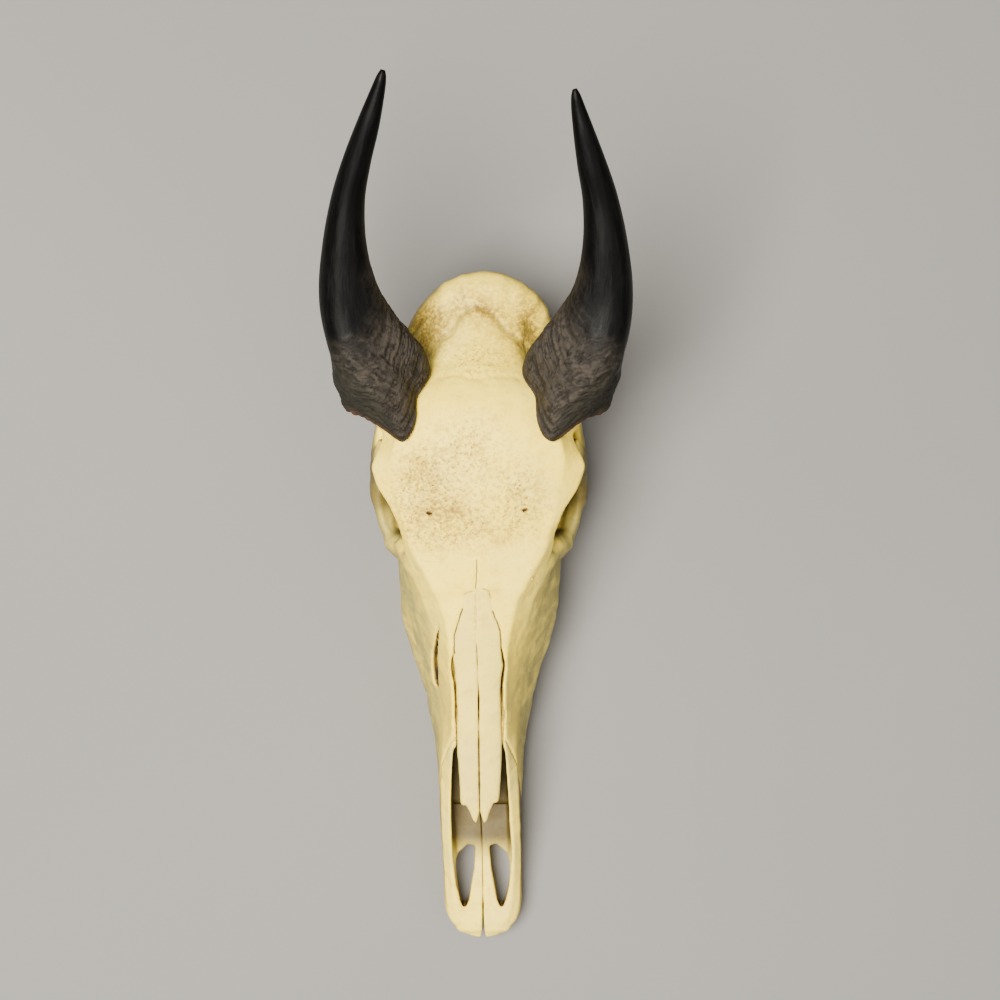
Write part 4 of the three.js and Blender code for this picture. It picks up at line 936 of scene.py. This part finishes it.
def horn_material():
    s = Shader("black_horn")
    at = s.attribute("horn_at", "Vector")
    base, rings, ledge = s.attribute("base"), s.attribute("rings"), s.attribute("ledge")
    lateral_shade, rim, inner = s.attribute("lateral_shade"), s.attribute("rim"), s.attribute("inner")
    streak = s.noise(1.5, 5, 0.6, s.stretched((1, 1, 0.04), at))
    patch = s.noise(14, 4, 0.6, s.stretched((1, 1, 0.4), at), twist=0.5)
    scales = s.noise(3.5, 6, 0.7, s.stretched((1, 1, 0.8), at), twist=0.8)
    dust = s.noise(0.6, 3, 0.6)
    dark = s.mix(s.step(streak, 0.45, 0.8), srgb(2, 2, 2), srgb(9, 9, 9))
    dark = s.mix(s.step(patch, 0.55, 0.75, 0, 0.5), dark, srgb(18, 15, 12))
    flaky = s.mix(s.step(rings, 0.2, 0.85), srgb(38, 34, 30), srgb(54, 49, 42))
    flaky = s.mix(s.step(ledge, 0.2, 0.8, 0, 0.5), flaky, srgb(52, 48, 43))
    flaky = s.mix(s.step(scales, 0.46, 0.62, 0, 0.75), flaky, srgb(20, 18, 16))
    # Painted shade on the outer face of the horn's base, beyond the keel.
    flaky = s.mix(s.math("MULTIPLY", lateral_shade, 0.7), flaky, srgb(30, 29, 23))
    colour = s.mix(base, dark, flaky)
    colour = s.mix(s.math("MULTIPLY", rim, s.step(scales, 0.4, 0.6, 0.1, 0.8)), colour, srgb(78, 54, 38))
    colour = s.mix(inner, colour, srgb(96, 74, 50))
    s.set(s.surface.inputs["Base Color"], colour)
    rough = s.step(s.math("ADD", streak, dust), 0.7, 1.3, 0.36, 0.52)
    s.set(s.surface.inputs["Roughness"], s.math("ADD", rough, s.math("MULTIPLY", base, 0.25)))
    relief = s.bump(streak, 0.25, 0.6)
    relief = s.bump(s.math("MULTIPLY", rings, base), 0.7, 0.9, relief)
    relief = s.bump(s.math("MULTIPLY", scales, base), 0.5, 0.7, relief)
    relief = s.bump(dust, 0.06, 0.5, relief)
    s.set(s.surface.inputs["Normal"], relief)
    s.surface.inputs["Specular IOR Level"].default_value = 0.08
    return s.material


def tooth_material():
    s = Shader("tooth")
    cement = s.attribute("cement")
    crown = s.attribute("crown")
    streak = s.noise(2.4, 4, 0.6, s.stretched((1, 1, 0.2)))
    blotch = s.noise(5, 4, 0.6)
    dust = s.noise(0.6, 3, 0.6)
    colour = s.mix(s.step(streak, 0.35, 0.7), srgb(226, 214, 184), srgb(190, 170, 128))
    colour = s.mix(s.step(blotch, 0.48, 0.7, 0, 0.7), colour, srgb(150, 120, 80))
    colour = s.mix(crown, colour, srgb(206, 186, 140))
    colour = s.mix(s.step(cement, 0.3, 0.8), colour, srgb(84, 62, 40))
    s.set(s.surface.inputs["Base Color"], colour)
    s.set(s.surface.inputs["Roughness"], s.step(blotch, 0.3, 0.7, 0.25, 0.5))
    relief = s.bump(streak, 0.2, 0.6)
    s.set(s.surface.inputs["Normal"], s.bump(dust, 0.05, 0.5, relief))
    return s.material


def floor_material():
    s = Shader("floor")
    shade = s.noise(400, 2, 0.5)
    s.set(s.surface.inputs["Base Color"], s.mix(shade, srgb(112, 111, 108), srgb(120, 119, 116)))
    s.surface.inputs["Roughness"].default_value = 0.9
    return s.material


CREAM = srgb(250, 218, 62)
PALE = srgb(246, 219, 84)
TAN = srgb(172, 136, 40)
DEEP = srgb(50, 33, 12)
skull_bone = bone_material("skull_bone", CREAM, PALE, TAN, DEEP)
nasal_bone = bone_material("nasal_bone", srgb(232, 206, 86), srgb(218, 196, 96), TAN, DEEP)
muzzle_bone = bone_material("muzzle_bone", srgb(246, 218, 78), srgb(226, 204, 96), TAN, DEEP)
horn_black = horn_material()
tooth_ivory = tooth_material()

# The nasal bones: their outlines in plan, from the middle of the front end round the outer side.
NASAL_OUTLINE = {
    "left": [
        [0.15, -155.1], [1.6, -161.8], [2.6, -162.9], [4.2, -160.6], [6.2, -154.2], [7.9, -150.6],
        [9.3, -150.4], [10.7, -149.6], [11.7, -144], [12.6, -136], [13.1, -117.6], [12.9, -99.3],
        [12.4, -92.2], [12.5, -80.5], [13.9, -70], [13.9, -67.8], [12.9, -60.3], [12.2, -49.4],
        [10.3, -42.5], [7.9, -37.9], [7.0, -30.6], [5.9, -26.6], [2.6, -25], [-1.3, -23.8],
        [-1.45, -45], [0.15, -85],
    ],
    "right": [
        [0.15, -155.1], [1.5, -161.5], [2.6, -163.2], [4.3, -160.8], [6.2, -155.6], [8.1, -151.8],
        [9.4, -152.2], [10.7, -151.2], [11.3, -146], [11.8, -138], [12.2, -117.5], [12.4, -92.8],
        [12.8, -80], [13.6, -71.9], [14.2, -66], [13.5, -61.5], [13.4, -51.9], [11.6, -44],
        [8.7, -36.2], [7.9, -28.9], [5.6, -27.5], [3.2, -26.9], [1.45, -23.8], [1.6, -45], [0.15, -85],
    ],
}
NASAL_BRIDGE = (
    [-165, -149, -130, -110, -90, -70, -50, -35, -20],
    [55.5, 61, 67.5, 74, 80.5, 87.5, 95, 100, 105],
)
NASAL_THICKNESS = 3.4
NASAL_DROP = 0.001


def nasal_top(x, y):
    return curve_at(*NASAL_BRIDGE, y) - NASAL_DROP * np.abs(x) ** 3


def nasal_plan(name, x, y):
    """Distance in plan to one nasal bone's outline. The right one's outline is written mirrored."""
    return plan_distance(NASAL_OUTLINE[name], x if name == "left" else -x, y)


def nasal_gap(x, y):
    """The width of the open slit beside the nasal bones. They meet the bone behind y = -60."""
    ys_right, right = [-118, -100, -84, -76, -71, -65, -60, -56], [0.7, 0.9, 0.9, 1.5, 1.9, 1.0, 0.2, -0.7]
    ys_left, left = [-125, -104, -97, -90, -80, -68, -60, -56], [0.7, 1.2, 1.8, 1.2, 0.9, 0.7, 0.1, -0.7]
    return np.where(x < 0, np.interp(y, ys_right, right), np.interp(y, ys_left, left))


# The muzzle bones lie in front of a slanting seam: y at the floor, y per z, and what turns y into distance.
SEAM_AT = 178
SEAM_LEAN = 64 / 68
ACROSS_SEAM = 0.728


def behind_seam(y, z):
    return (y + SEAM_AT - z * SEAM_LEAN) * ACROSS_SEAM


TEETH = [
    ["premolar_2", 21.3, -96, 12, 9, 0, 14],
    ["premolar_3", 25, -82.2, 14, 11, 0.05, 12],
    ["premolar_4", 28.3, -67.4, 14, 13, 0.05, 10],
    ["molar_1", 31.6, -50.6, 18, 15.5, 0.2, 8],
    ["molar_2", 33.4, -30.3, 21, 17, 0.2, 3],
    ["molar_3", 33.6, -8, 22, 16.5, 0.2, -2],
]


def tooth_place(tooth, x, y):
    """Across and along a left tooth, as shares of its half width and half length."""
    _, mid_x, mid_y, length, width, _, turn = tooth
    c, s = math.cos(math.radians(turn)), math.sin(math.radians(turn))
    dx, dy = x - mid_x, y - mid_y
    return (dx * c - dy * s) / (width / 2), (dx * s + dy * c) / (length / 2)


def tooth_plan(tooth, x, y, z, grow=0.0):
    """Distance to a tooth's side."""
    _, _, _, length, width, waist, _ = tooth
    u, v = tooth_place(tooth, x, y)
    slim = 1 - 0.25 * np.clip(2 * z / ROOT_TOP - 1, 0, 1)
    pinch = 1 - waist * np.exp(-((v / 0.35) ** 2))
    reach = (np.abs(v / slim) ** 2.667 + np.abs(u / pinch / slim) ** 2.857) ** 0.36
    return (reach - 1) * min(width, length) / 2 - grow


# The skull's skin: the cranium is what is left behind the muzzle bones, the nasal bones and the teeth
skull_axes = axes_of([-84, -200, -3], [84, 162, 182], STEP["skull"])
bone_values = field_on(skull_axes, BONE)
bare_values = field_on(skull_axes, [form for form in BONE if form is not CORES])
_, grid_y, grid_z = np.ix_(*skull_axes)


def nasal_bed(x, y, z):
    """Distance to the room that the nasal bones lie in, with the slits beside them."""
    plan = np.minimum(nasal_plan("left", x, y), nasal_plan("right", x, y)) - nasal_gap(x, y)
    floor = nasal_top(x, y) - NASAL_THICKNESS - SEAM_GAP
    return smooth_most(plan, floor - z, 0.3)


def without(values, hole):
    return smooth_most(values, -hole, 0.4)


cranium_values = bone_values.copy()
near_nasals = block(skull_axes, (-22, -175, 40), (22, -14, 182))
x, y, z = np.ix_(*[axis[s] for axis, s in zip(skull_axes, near_nasals)])
cranium_values[near_nasals] = without(cranium_values[near_nasals], nasal_bed(x, y, z))
for tooth in TEETH:
    reach = tooth[3]
    for side in (1, -1):
        mid_x, mid_y = side * tooth[1], tooth[2]
        spans = block(skull_axes, (mid_x - reach, mid_y - reach, -5), (mid_x + reach, mid_y + reach, 30))
        x, y, z = np.ix_(*[axis[s] for axis, s in zip(skull_axes, spans)])
        socket = np.maximum(tooth_plan(tooth, side * x, y, z, 0.6), z - ROOT_TOP - 0.6)
        cranium_values[spans] = np.maximum(cranium_values[spans], -socket)
cranium_values = smooth_most(cranium_values, ACROSS_SEAM * SEAM_GAP - behind_seam(grid_y, grid_z), 0.4)
cranium_values = np.maximum(cranium_values, -grid_z)


def biggest(points, quads):
    """Only the biggest of the separate bodies."""
    labels = np.arange(len(points))
    while True:
        lowest = labels[quads].min(1)
        fresh = labels.copy()
        for i in range(4):
            np.minimum.at(fresh, quads[:, i], lowest)
        fresh = fresh[fresh]
        if (fresh == labels).all():
            break
        labels = fresh
    names, tallies = np.unique(labels, return_counts=True)
    keep = labels == names[tallies.argmax()]
    renamed = np.cumsum(keep) - 1
    return points[keep], renamed[quads[keep[quads[:, 0]]]]


def body_of(values, axes, rounds=2):
    points, quads = biggest(*skin(values, axes))
    return settle(points, quads, values, axes, rounds), quads


def low_relief(points):
    return 0.45 * layered(points, 15, 2, 11) + 0.16 * layered(points, 4.5, 2, 21)


# Low lumps on the bone: the middle in plan, half width, half length and height
LUMPS = [
    (-7, 96.5, 5, 3.5, 0.9),
    (4, 95.5, 5, 3.5, 0.8),
    (-13, 139, 7, 4, 0.8),
    (12, 140, 7, 4, 0.8),
    (0, 10, 22, 30, 0.6),
]


def dressed(piece, relief=1.0):
    """Pushes a bone's skin in and out for its small relief."""
    points = points_of(piece)
    normals = normals_of(piece)
    _, push = crease_at(points)
    upward = smooth_step(normals[:, 2], 0.1, 0.5) * smooth_step(points[:, 2], 85, 95)
    wrinkled = spot_at(points, -5, 48, 14, 13)
    pitted = grain_at(points, normals) * smooth_step(
        noise(points, 1.7, 71) + 0.5 * noise(points, 3.5, 72), 0.25, 0.9
    )
    lift = relief * low_relief(points) - push * smooth_step(normals[:, 2], 0.1, 0.5) - 0.45 * pitted
    lift += upward * wrinkled * 0.22 * noise(points * [1, 0.6, 1], 1.8, 73)
    for *spot, height in LUMPS:
        lift += height * spot_at(points, *spot) * upward
    lift *= smooth_step(points[:, 2], 0.1, 4)
    set_points(piece, points + normals * lift[:, None])


def roof_at(y):
    """The height of the face's upper edge at each y."""
    return np.interp(y, [-190, -140, -119, -75, -45, -12, 20], [28, 52, 64.5, 81, 92.7, 102, 111])


def wall_stain_and_shade_at(points, normals):
    """Where the bone is painted olive: its steep side walls, as olive stain and painted shade together,
    behind the muzzle bones most of all, and the upper inner face of the eye socket's rim, as painted shade.
    """
    steep = 1 - smooth_step(normals[:, 2], 0.35, 0.8)
    low = smooth_step(points[:, 2], 8, 30) * (1 - 0.45 * smooth_step(points[:, 2], 88, 104))
    back = 0.65 + 0.35 * smooth_step(points[:, 1], -190, -120)
    x, y, z = np.abs(points[:, 0]), points[:, 1], points[:, 2]
    # Painted shade on the upper inner face of the eye socket's rim.
    flange_shade = smooth_step(x, 43, 47) * smooth_step(y, -6, 0) * (1 - smooth_step(y, 34, 44))
    flange_shade = flange_shade * (1 - smooth_step(z, 74, 84))
    low = low * (0.45 + 0.55 * smooth_step(roof_at(y) - z, 4, 26))
    return np.clip(np.maximum(0.95 * steep * low * back, 0.8 * flange_shade), 0, 1)


# Yellow-brown stains, and painted shade where the back of the head slopes away from the light (the spots at
# y 112 and 131): the middle in plan, half width, half length and strength
STAINS_AND_SHADE = [
    (-27, 22, 13, 18, 0.85),
    (-13, 14, 12, 11, 0.7),
    (-4, 5, 28, 7, 0.55),
    (-33, 40, 11, 10, 0.5),
    (26, 24, 9, 15, 0.5),
    (0, 131, 34, 15, 1.0),
    (-31, 112, 13, 18, 1.4),
    (31, 112, 13, 18, 1.3),
    (-6, 50, 12, 14, 0.25),
]


def stain_and_shade_at(points):
    spots = [strength * spot_at(points, *spot) for *spot, strength in STAINS_AND_SHADE]
    total = sum(spots) * (0.8 + 0.5 * layered(points, 9, 2, 81))
    return np.clip(total, 0, 1) * smooth_step(points[:, 2], 70, 85)


def deep_shade_at(points):
    """How deep in the nose or in an eye socket each point is, from 0 to 1, for the painted shade there, on
    the upper inner face of the eye socket's rim and in the open face slit.
    """
    x, y, z = points.T
    top = np.interp(y, [-206, -190, -165, -140, -119, -93], [25, 29, 41, 53, 65, 77])
    nose = 1 - smooth_step(nose_hollow[2](x, y, z), 2.0, 4.0)
    nose = nose * smooth_step(top - z, 0.5, 8) * smooth_step(y, -194, -174)
    eye = np.minimum(pair(eye_apex)[2](x, y, z), pair(eye_room)[2](x, y, z))
    eye = (1 - smooth_step(eye, 0.3, 1.5)) * (1 - smooth_step(z, 82, 100))
    eye = eye * (1 - smooth_step(np.abs(x), 44, 52)) * smooth_step(y, 0, 6)
    rim = smooth_step(np.abs(x), 45, 50) * smooth_step(y, 8, 26) * (1 - smooth_step(y, 52, 58))
    rim = 0.75 * rim * (1 - smooth_step(z, 86, 96)) * smooth_step(z, 50, 60)
    slit = (1 - smooth_step(face_slit[2](x, y, z), 0.1, 0.5)) * (x < 0)
    slit = slit * smooth_step(-face[2](x, y, z), 0.3, 2.0)
    return np.max([0.95 * nose, 0.95 * eye, rim, slit], axis=0)


def tell_material(piece, values, axes):
    points = points_of(piece)
    normals = normals_of(piece)
    shade, _ = crease_at(points)
    give(piece, "hollow", hollowness(points, normals, values, axes))
    give(piece, "crease", shade * smooth_step(normals[:, 2], 0.0, 0.3))
    give(piece, "grain", grain_at(points, normals))
    give(piece, "side", wall_stain_and_shade_at(points, normals))
    give(piece, "stain_and_shade", stain_and_shade_at(points))
    give(piece, "dark", deep_shade_at(points))


points, quads = body_of(cranium_values, skull_axes)
cranium = mesh_of("skull_cranium", points, quads)
refine(cranium, lambda p: near_marks(p, 2.5) | (grain_at(p, np.tile([0, 0, 1.0], (len(p), 1))) > 0.45))
refine(cranium, lambda p: near_marks(p, 1.2))
points = points_of(cranium)
set_points(cranium, drawn_back(points, cranium_values, skull_axes))
dressed(cranium)

# Horns: [y, x, z, half width, half depth, keel, direction of the keel in degrees]
HORNS = {
    "right": [
        [60, 38.6, 98, 20, 19, 0.28, 110],
        [70, 44.2, 107, 22.2, 20, 0.25, 105],
        [82, 49.8, 118, 23.6, 21.5, 0.2, 96],
        [95, 55.7, 128, 24, 21.5, 0.16, 83],
        [112, 63, 138.5, 19.8, 19.5, 0.12, 66],
        [134, 68, 151, 15.6, 16, 0.06, 45],
        [155, 68.8, 163.5, 11.7, 12, 0.02, 40],
        [177, 66, 176, 8.8, 9.2, 0, 40],
        [195, 60.6, 187.5, 7.3, 7.5, 0, 40],
        [212, 54, 199, 5.8, 6, 0, 40],
        [227, 48.4, 209, 3.6, 3.6, 0, 40],
        [233, 46.4, 213, 2.4, 2.4, 0, 40],
        [235, 45.8, 214.2, 1.4, 1.4, 0, 40],
    ],
    "left": [
        [60, 37.6, 98, 19.5, 19, 0.28, 110],
        [70, 42.6, 107, 22, 20, 0.25, 105],
        [82, 47.8, 118, 23.6, 21.5, 0.2, 96],
        [95, 54.3, 128, 24, 21.5, 0.16, 83],
        [112, 61.8, 138.5, 20.7, 19.5, 0.12, 66],
        [134, 66.6, 151, 15.7, 15.5, 0.06, 45],
        [155, 66.8, 163.5, 12, 11.8, 0.02, 40],
        [177, 63.6, 175, 9.2, 9.2, 0, 40],
        [195, 58.3, 186, 7.4, 7.5, 0, 40],
        [209, 54.1, 195, 5.4, 5.6, 0, 40],
        [219, 51.2, 201, 3.7, 3.8, 0, 40],
        [225, 49.7, 205, 2.4, 2.5, 0, 40],
        [227.3, 49.2, 206.5, 1.4, 1.4, 0, 40],
    ],
}
# The sheath's rim: it lies over the first plane, and over one or both of the two others.
RIM_BELOW = (np.array([41, 54, 118.0]), np.array([0.303, 0.149, 0.941]))
RIM_IN_FRONT = [
    (np.array([38.6, 52.8, 121.0]), np.array([-0.67, 0.74, 0.2])),
    (np.array([62, 71, 108.0]), np.array([-0.17, 0.96, 0.2])),
]


def horn_places(stations, points):
    """Distance to a horn on the left, and the angle round it and the way up it, for each point."""
    table = np.array(stations, float)
    ys = table[:, 0]
    fine = np.linspace(ys[0], ys[-1], 400)
    spine = np.stack([curve_at(ys, table[:, 1], fine), fine, curve_at(ys, table[:, 2], fine)], 1)
    tangents = np.gradient(spine, axis=0)
    tangents /= np.linalg.norm(tangents, axis=1, keepdims=True)
    way = np.concatenate([[0], np.cumsum(np.linalg.norm(np.diff(spine, axis=0), axis=1))])

    def read(columns, at):
        return np.stack([np.interp(at, fine, c) for c in columns.T], 1)

    at = np.clip(points[:, 1], ys[0], ys[-1])
    for _ in range(5):
        along = read(tangents, at)
        offset = points - read(spine, at)
        at = np.clip(at + (offset * along).sum(1) * along[:, 1], ys[0], ys[-1])
    along = read(tangents, at)
    offset = points - read(spine, at)
    past = (offset * along).sum(1)
    outer = np.array([1.0, 0, 0]) - along[:, :1] * along
    outer /= np.linalg.norm(outer, axis=1, keepdims=True)
    front = np.cross(outer, along)
    half = curve_at(ys, table[:, 3:7], at)
    u = (offset * outer).sum(1) / half[:, 0]
    v = (offset * front).sum(1) / half[:, 1]
    angle = np.arctan2(v, u)
    swell = 1 + half[:, 2] * np.cos(3 * (angle - np.radians(half[:, 3])))
    side = (np.hypot(u, v) - swell) * half[:, :2].mean(1)
    end = np.where((at > ys[0]) & (at < ys[-1]), -FAR, np.abs(past) - 0.5)
    return np.maximum(side, end), angle, np.interp(at, fine, way), half[:, :2].mean(1)


def over(plane, points):
    through, normal = plane
    return (points - through) @ (normal / np.linalg.norm(normal))


def rim_distance(points):
    """How far over the rim planes each point of the left horn is."""
    ragged = 0.9 * noise(points, 7, 31) + 0.7 * noise(points, 2.4, 32)
    inner, outer = (over(plane, points) for plane in RIM_IN_FRONT)
    front = smooth_most(inner + 0.3 * ragged, outer + 1.6 * ragged, 2)
    return np.minimum(over(RIM_BELOW, points) + ragged, front)


def horn_sheath(name):
    side = 1 if name == "left" else -1
    flip = [side, 1, 1]
    stations = HORNS[name]
    axes = axes_of([14, 40, 84], [90, stations[-1][0] + 3, stations[-1][2] + 4], STEP["horn"])
    everywhere = np.stack(np.meshgrid(*axes, indexing="ij"), -1).reshape(-1, 3)
    spine = rod([[s[1], s[0], s[2], max(s[3], s[4]) + 9] for s in stations])[2]
    near = spine(*everywhere.T) < 0
    points = everywhere[near]
    distance, _, _, _ = horn_places(stations, points)
    distance = smooth_most(distance, -rim_distance(points), 1.2)
    bone = sample(bone_values, skull_axes, points * flip)
    distance = smooth_most(distance, SHEATH_GAP - bone, 0.8)
    values = np.full(len(everywhere), FAR, np.float32)
    values[near] = distance
    values = values.reshape([len(a) for a in axes])
    points, quads = body_of(values, axes)
    if side < 0:
        quads = quads[:, ::-1]
    piece = mesh_of(f"horn_{name}", points * flip, quads)
    normals = normals_of(piece) * flip
    outside, angle, way, half = horn_places(stations, points)
    bone = sample(bone_values, skull_axes, points * flip)
    bare = sample(bare_values, skull_axes, points * flip)
    rim = np.minimum(rim_distance(points), np.maximum(bare - SHEATH_GAP, 0))
    inner = smooth_step(-outside, 2.0, 3.5) * (bone < SHEATH_GAP + 1.0)
    around = np.stack([np.cos(angle) * half, np.sin(angle) * half, way], 1)
    keel = np.interp(way, [0, 24, 34, 44, 50, 57, 72], np.radians([104, 101, 99, 95, 89, 81, 68]))
    turned = np.sin(angle - keel)  # above 0 on the inner side of the keel
    reach = 44 + 14 * turned + 9 * noise(around, 22, 41)
    base = 1 - smooth_step(rim, 0.6 * reach, 1.15 * reach)
    waves = rim + 1.2 * noise(points, 18, 46) + 0.5 * noise(points, 5, 47)
    rings = noise(np.stack([waves, 0.16 * points[:, 0], 0.16 * points[:, 2]], 1), 0.85, 43)
    streaks = layered(around * [1, 1, 0.06], 3.0, 2, 42)
    flakes = layered(points, 8, 3, 45)
    ledge = smooth_step(flakes + 0.4 * rings, 0.05, 0.3)
    ridge = np.exp(-((turned / 0.13) ** 2)) * (np.cos(angle - keel) > 0) * (1 - smooth_step(way, 45, 75))
    lift = 0.12 * streaks * (1 - base) + base * (0.25 * rings + 0.5 * ledge + 0.2 * flakes) + 1.1 * ridge
    lift = lift * (1 - inner) * smooth_step(rim, 0.2, 2.5)
    set_points(piece, (points + normals * lift[:, None]) * flip)
    give(piece, "horn_at", around / 1000 * flip)
    give(piece, "base", base)
    give(piece, "rings", np.clip(0.5 + 0.7 * rings, 0, 1))
    give(piece, "ledge", ledge)
    # Painted shade on the outer face of the horn's base.
    give(piece, "lateral_shade", (1 - smooth_step(turned, -0.1, 0.04)) * (1 - smooth_step(way, 50, 80)))
    give(piece, "rim", 1 - smooth_step(rim, 0.8, 3.2))
    give(piece, "inner", inner)
    return piece


sheaths = {}
covered = np.zeros(len(cranium.data.vertices), bool)
for name in ("left", "right"):
    piece = horn_sheath(name)
    sheaths[name] = piece
    side = 1 if name == "left" else -1
    at = points_of(cranium) * [side, 1, 1]
    near = (at[:, 0] > 10) & (at[:, 1] > 45) & (at[:, 2] > 88)
    depth = np.full(len(at), FAR)
    depth[near] = np.maximum(horn_places(HORNS[name], at[near])[0], 3 - rim_distance(at[near]))
    covered |= depth < -2.5

at = points_of(cranium)
inside_nose = nose_hollow[2](*at.T) < 0
inside_head = brain_hollow[2](*at.T) < 1
open_nose = at[:, 1] < -150
hidden = np.where(covered | inside_head | (inside_nose & ~open_nose), 1.0, 0.1)
thin_out(cranium, MOST_TRIANGLES, hidden)
tell_material(cranium, cranium_values, skull_axes)
finish_piece(cranium, skull_bone, "cranium")
for name, piece in sheaths.items():
    finish_piece(piece, horn_black, f"horn_sheath_{name}")

# The muzzle bones
muzzle_axes = axes_of([-24, -240, -2], [24, -108, 74], STEP["muzzle"])
x, y, z = np.ix_(*muzzle_axes)
muzzle_values = without(field_on(muzzle_axes, BONE), nasal_bed(x, y, z))
muzzle_values = smooth_most(muzzle_values, behind_seam(y, z), 0.4)
muzzle_values = np.maximum(muzzle_values, -z)
for name, side in (("left", 1), ("right", -1)):
    seam = np.interp(y, [-238, -233, -222, -212, -200], [1.6, 0.6, 0.35, 0.15, 0.1])
    values = smooth_most(muzzle_values, seam - side * x + 0 * z, 0.6)
    points, quads = body_of(values, muzzle_axes)
    piece = mesh_of(f"muzzle_{name}", points, quads)
    dressed(piece, 0.6)
    tell_material(piece, values, muzzle_axes)
    finish_piece(piece, muzzle_bone, f"premaxilla_{name}")

# The nasal bones
for name, side in (("left", 1), ("right", -1)):
    span = sorted((side * -1.0, side * 16.0))
    axes = axes_of([span[0], -166, 48], [span[1], -21, 108], STEP["nasal"])
    x, y, z = np.ix_(*axes)
    top = nasal_top(x, y)
    roof = field_on(axes, [add(face, 0), add(forehead, 5)])
    even = smooth_step(y, -75, -52)
    above = (z - top) * 0.95 * (1 - even) + roof * even
    rounding = 1.6 - 1.3 * even
    plan = nasal_plan(name, x, y) + 0 * z
    values = np.maximum(plan, above) + np.maximum(rounding - np.abs(plan - above), 0) ** 2 / (4 * rounding)
    values = smooth_most(values, (top - NASAL_THICKNESS - z) * 0.95, 0.8)
    points, quads = body_of(values, axes)
    piece = mesh_of(f"nasal_{name}", points, quads)
    dressed(piece)
    tell_material(piece, values, axes)
    finish_piece(piece, nasal_bone, f"nasal_{name}")


# The teeth


def tooth_piece(tooth, side_name, side):
    title, mid_x, mid_y, length, width, _, _ = tooth
    flip = [side, 1, 1]
    reach = max(length, width) / 2 + 3
    low, high = [mid_x - reach, mid_y - reach, -1.2], [mid_x + reach, mid_y + reach, 26]
    axes = axes_of(low, high, STEP["tooth"])
    x, y, z = np.ix_(*axes)
    u, v = tooth_place(tooth, x, y)
    plan = tooth_plan(tooth, x, y, z)
    lobes = (-0.47, 0.47) if length > 16 else (0.0,)
    for rib in (-0.92, 0.0, 0.92) if length > 16 else (-0.8, 0.8):
        plan = plan - 0.55 * np.exp(-(((v - rib) / 0.11) ** 2)) * smooth_step(u, 0.2, 0.8)
    values = smooth_most(plan, z - ROOT_TOP, 1.5)
    values = smooth_most(values, -z, 0.25)
    span = 0.3 if len(lobes) > 1 else 0.5
    pit = FAR
    for lobe in lobes:
        ring = np.abs(np.hypot((u - 0.25) / 0.62, (v - lobe) / span / 1.15) - 0.8) - 0.17
        ring = np.maximum(ring, (u - 0.22) / 0.62)
        pit = np.minimum(pit, ring * width * 0.3)
    values = smooth_most(values, -np.maximum(pit, z - 1.5), 0.3)
    points, quads = body_of(values, axes, 1)
    sunk = (points[:, 2] > 0.25) & (points[:, 2] < 3) & (tooth_plan(tooth, *points.T) < -0.7)
    if side < 0:
        quads = quads[:, ::-1]
    piece = mesh_of(f"{title}_{side_name}", points * flip, quads)
    normals = normals_of(piece) * flip
    lift = 0.12 * layered(points * [1, 1, 0.3], 2.5, 2, 61) * smooth_step(points[:, 2], 0.3, 2)
    set_points(piece, (points + normals * lift[:, None]) * flip)
    give(piece, "cement", sunk.astype(float))
    give(piece, "crown", 1 - smooth_step(points[:, 2], 0.1, 0.8))
    finish_piece(piece, tooth_ivory, f"{title}_{side_name}")


for tooth in TEETH:
    tooth_piece(tooth, "left", 1)
    tooth_piece(tooth, "right", -1)

# Floor and light
floor = mesh_of("floor", [[-4, -4, 0], [4, -4, 0], [4, 4, 0], [-4, 4, 0]], [[0, 1, 2, 3]])
floor.data.materials.append(floor_material())


def soft_light(name, place, size, power, colour):
    lamp = bpy.data.lights.new(name, "AREA")
    lamp.shape = "DISK"
    lamp.size = size
    lamp.energy = power
    lamp.color = colour
    holder = bpy.data.objects.new(name, lamp)
    bpy.context.scene.collection.objects.link(holder)
    holder.location = place
    holder.rotation_euler = (-Vector(place)).to_track_quat("-Z", "Y").to_euler()


soft_light("key", (-0.5, -0.15, 1.85), 1.1, 142, (1.0, 0.96, 0.88))
soft_light("fill", (1.3, -0.6, 1.6), 1.6, 14, (1.0, 0.97, 0.92))
world = bpy.data.worlds.new("world")
world.use_nodes = True
world.node_tree.nodes["Background"].inputs["Color"].default_value = (1.0, 0.97, 0.91, 1)
world.node_tree.nodes["Background"].inputs["Strength"].default_value = 0.3
bpy.context.scene.world = world
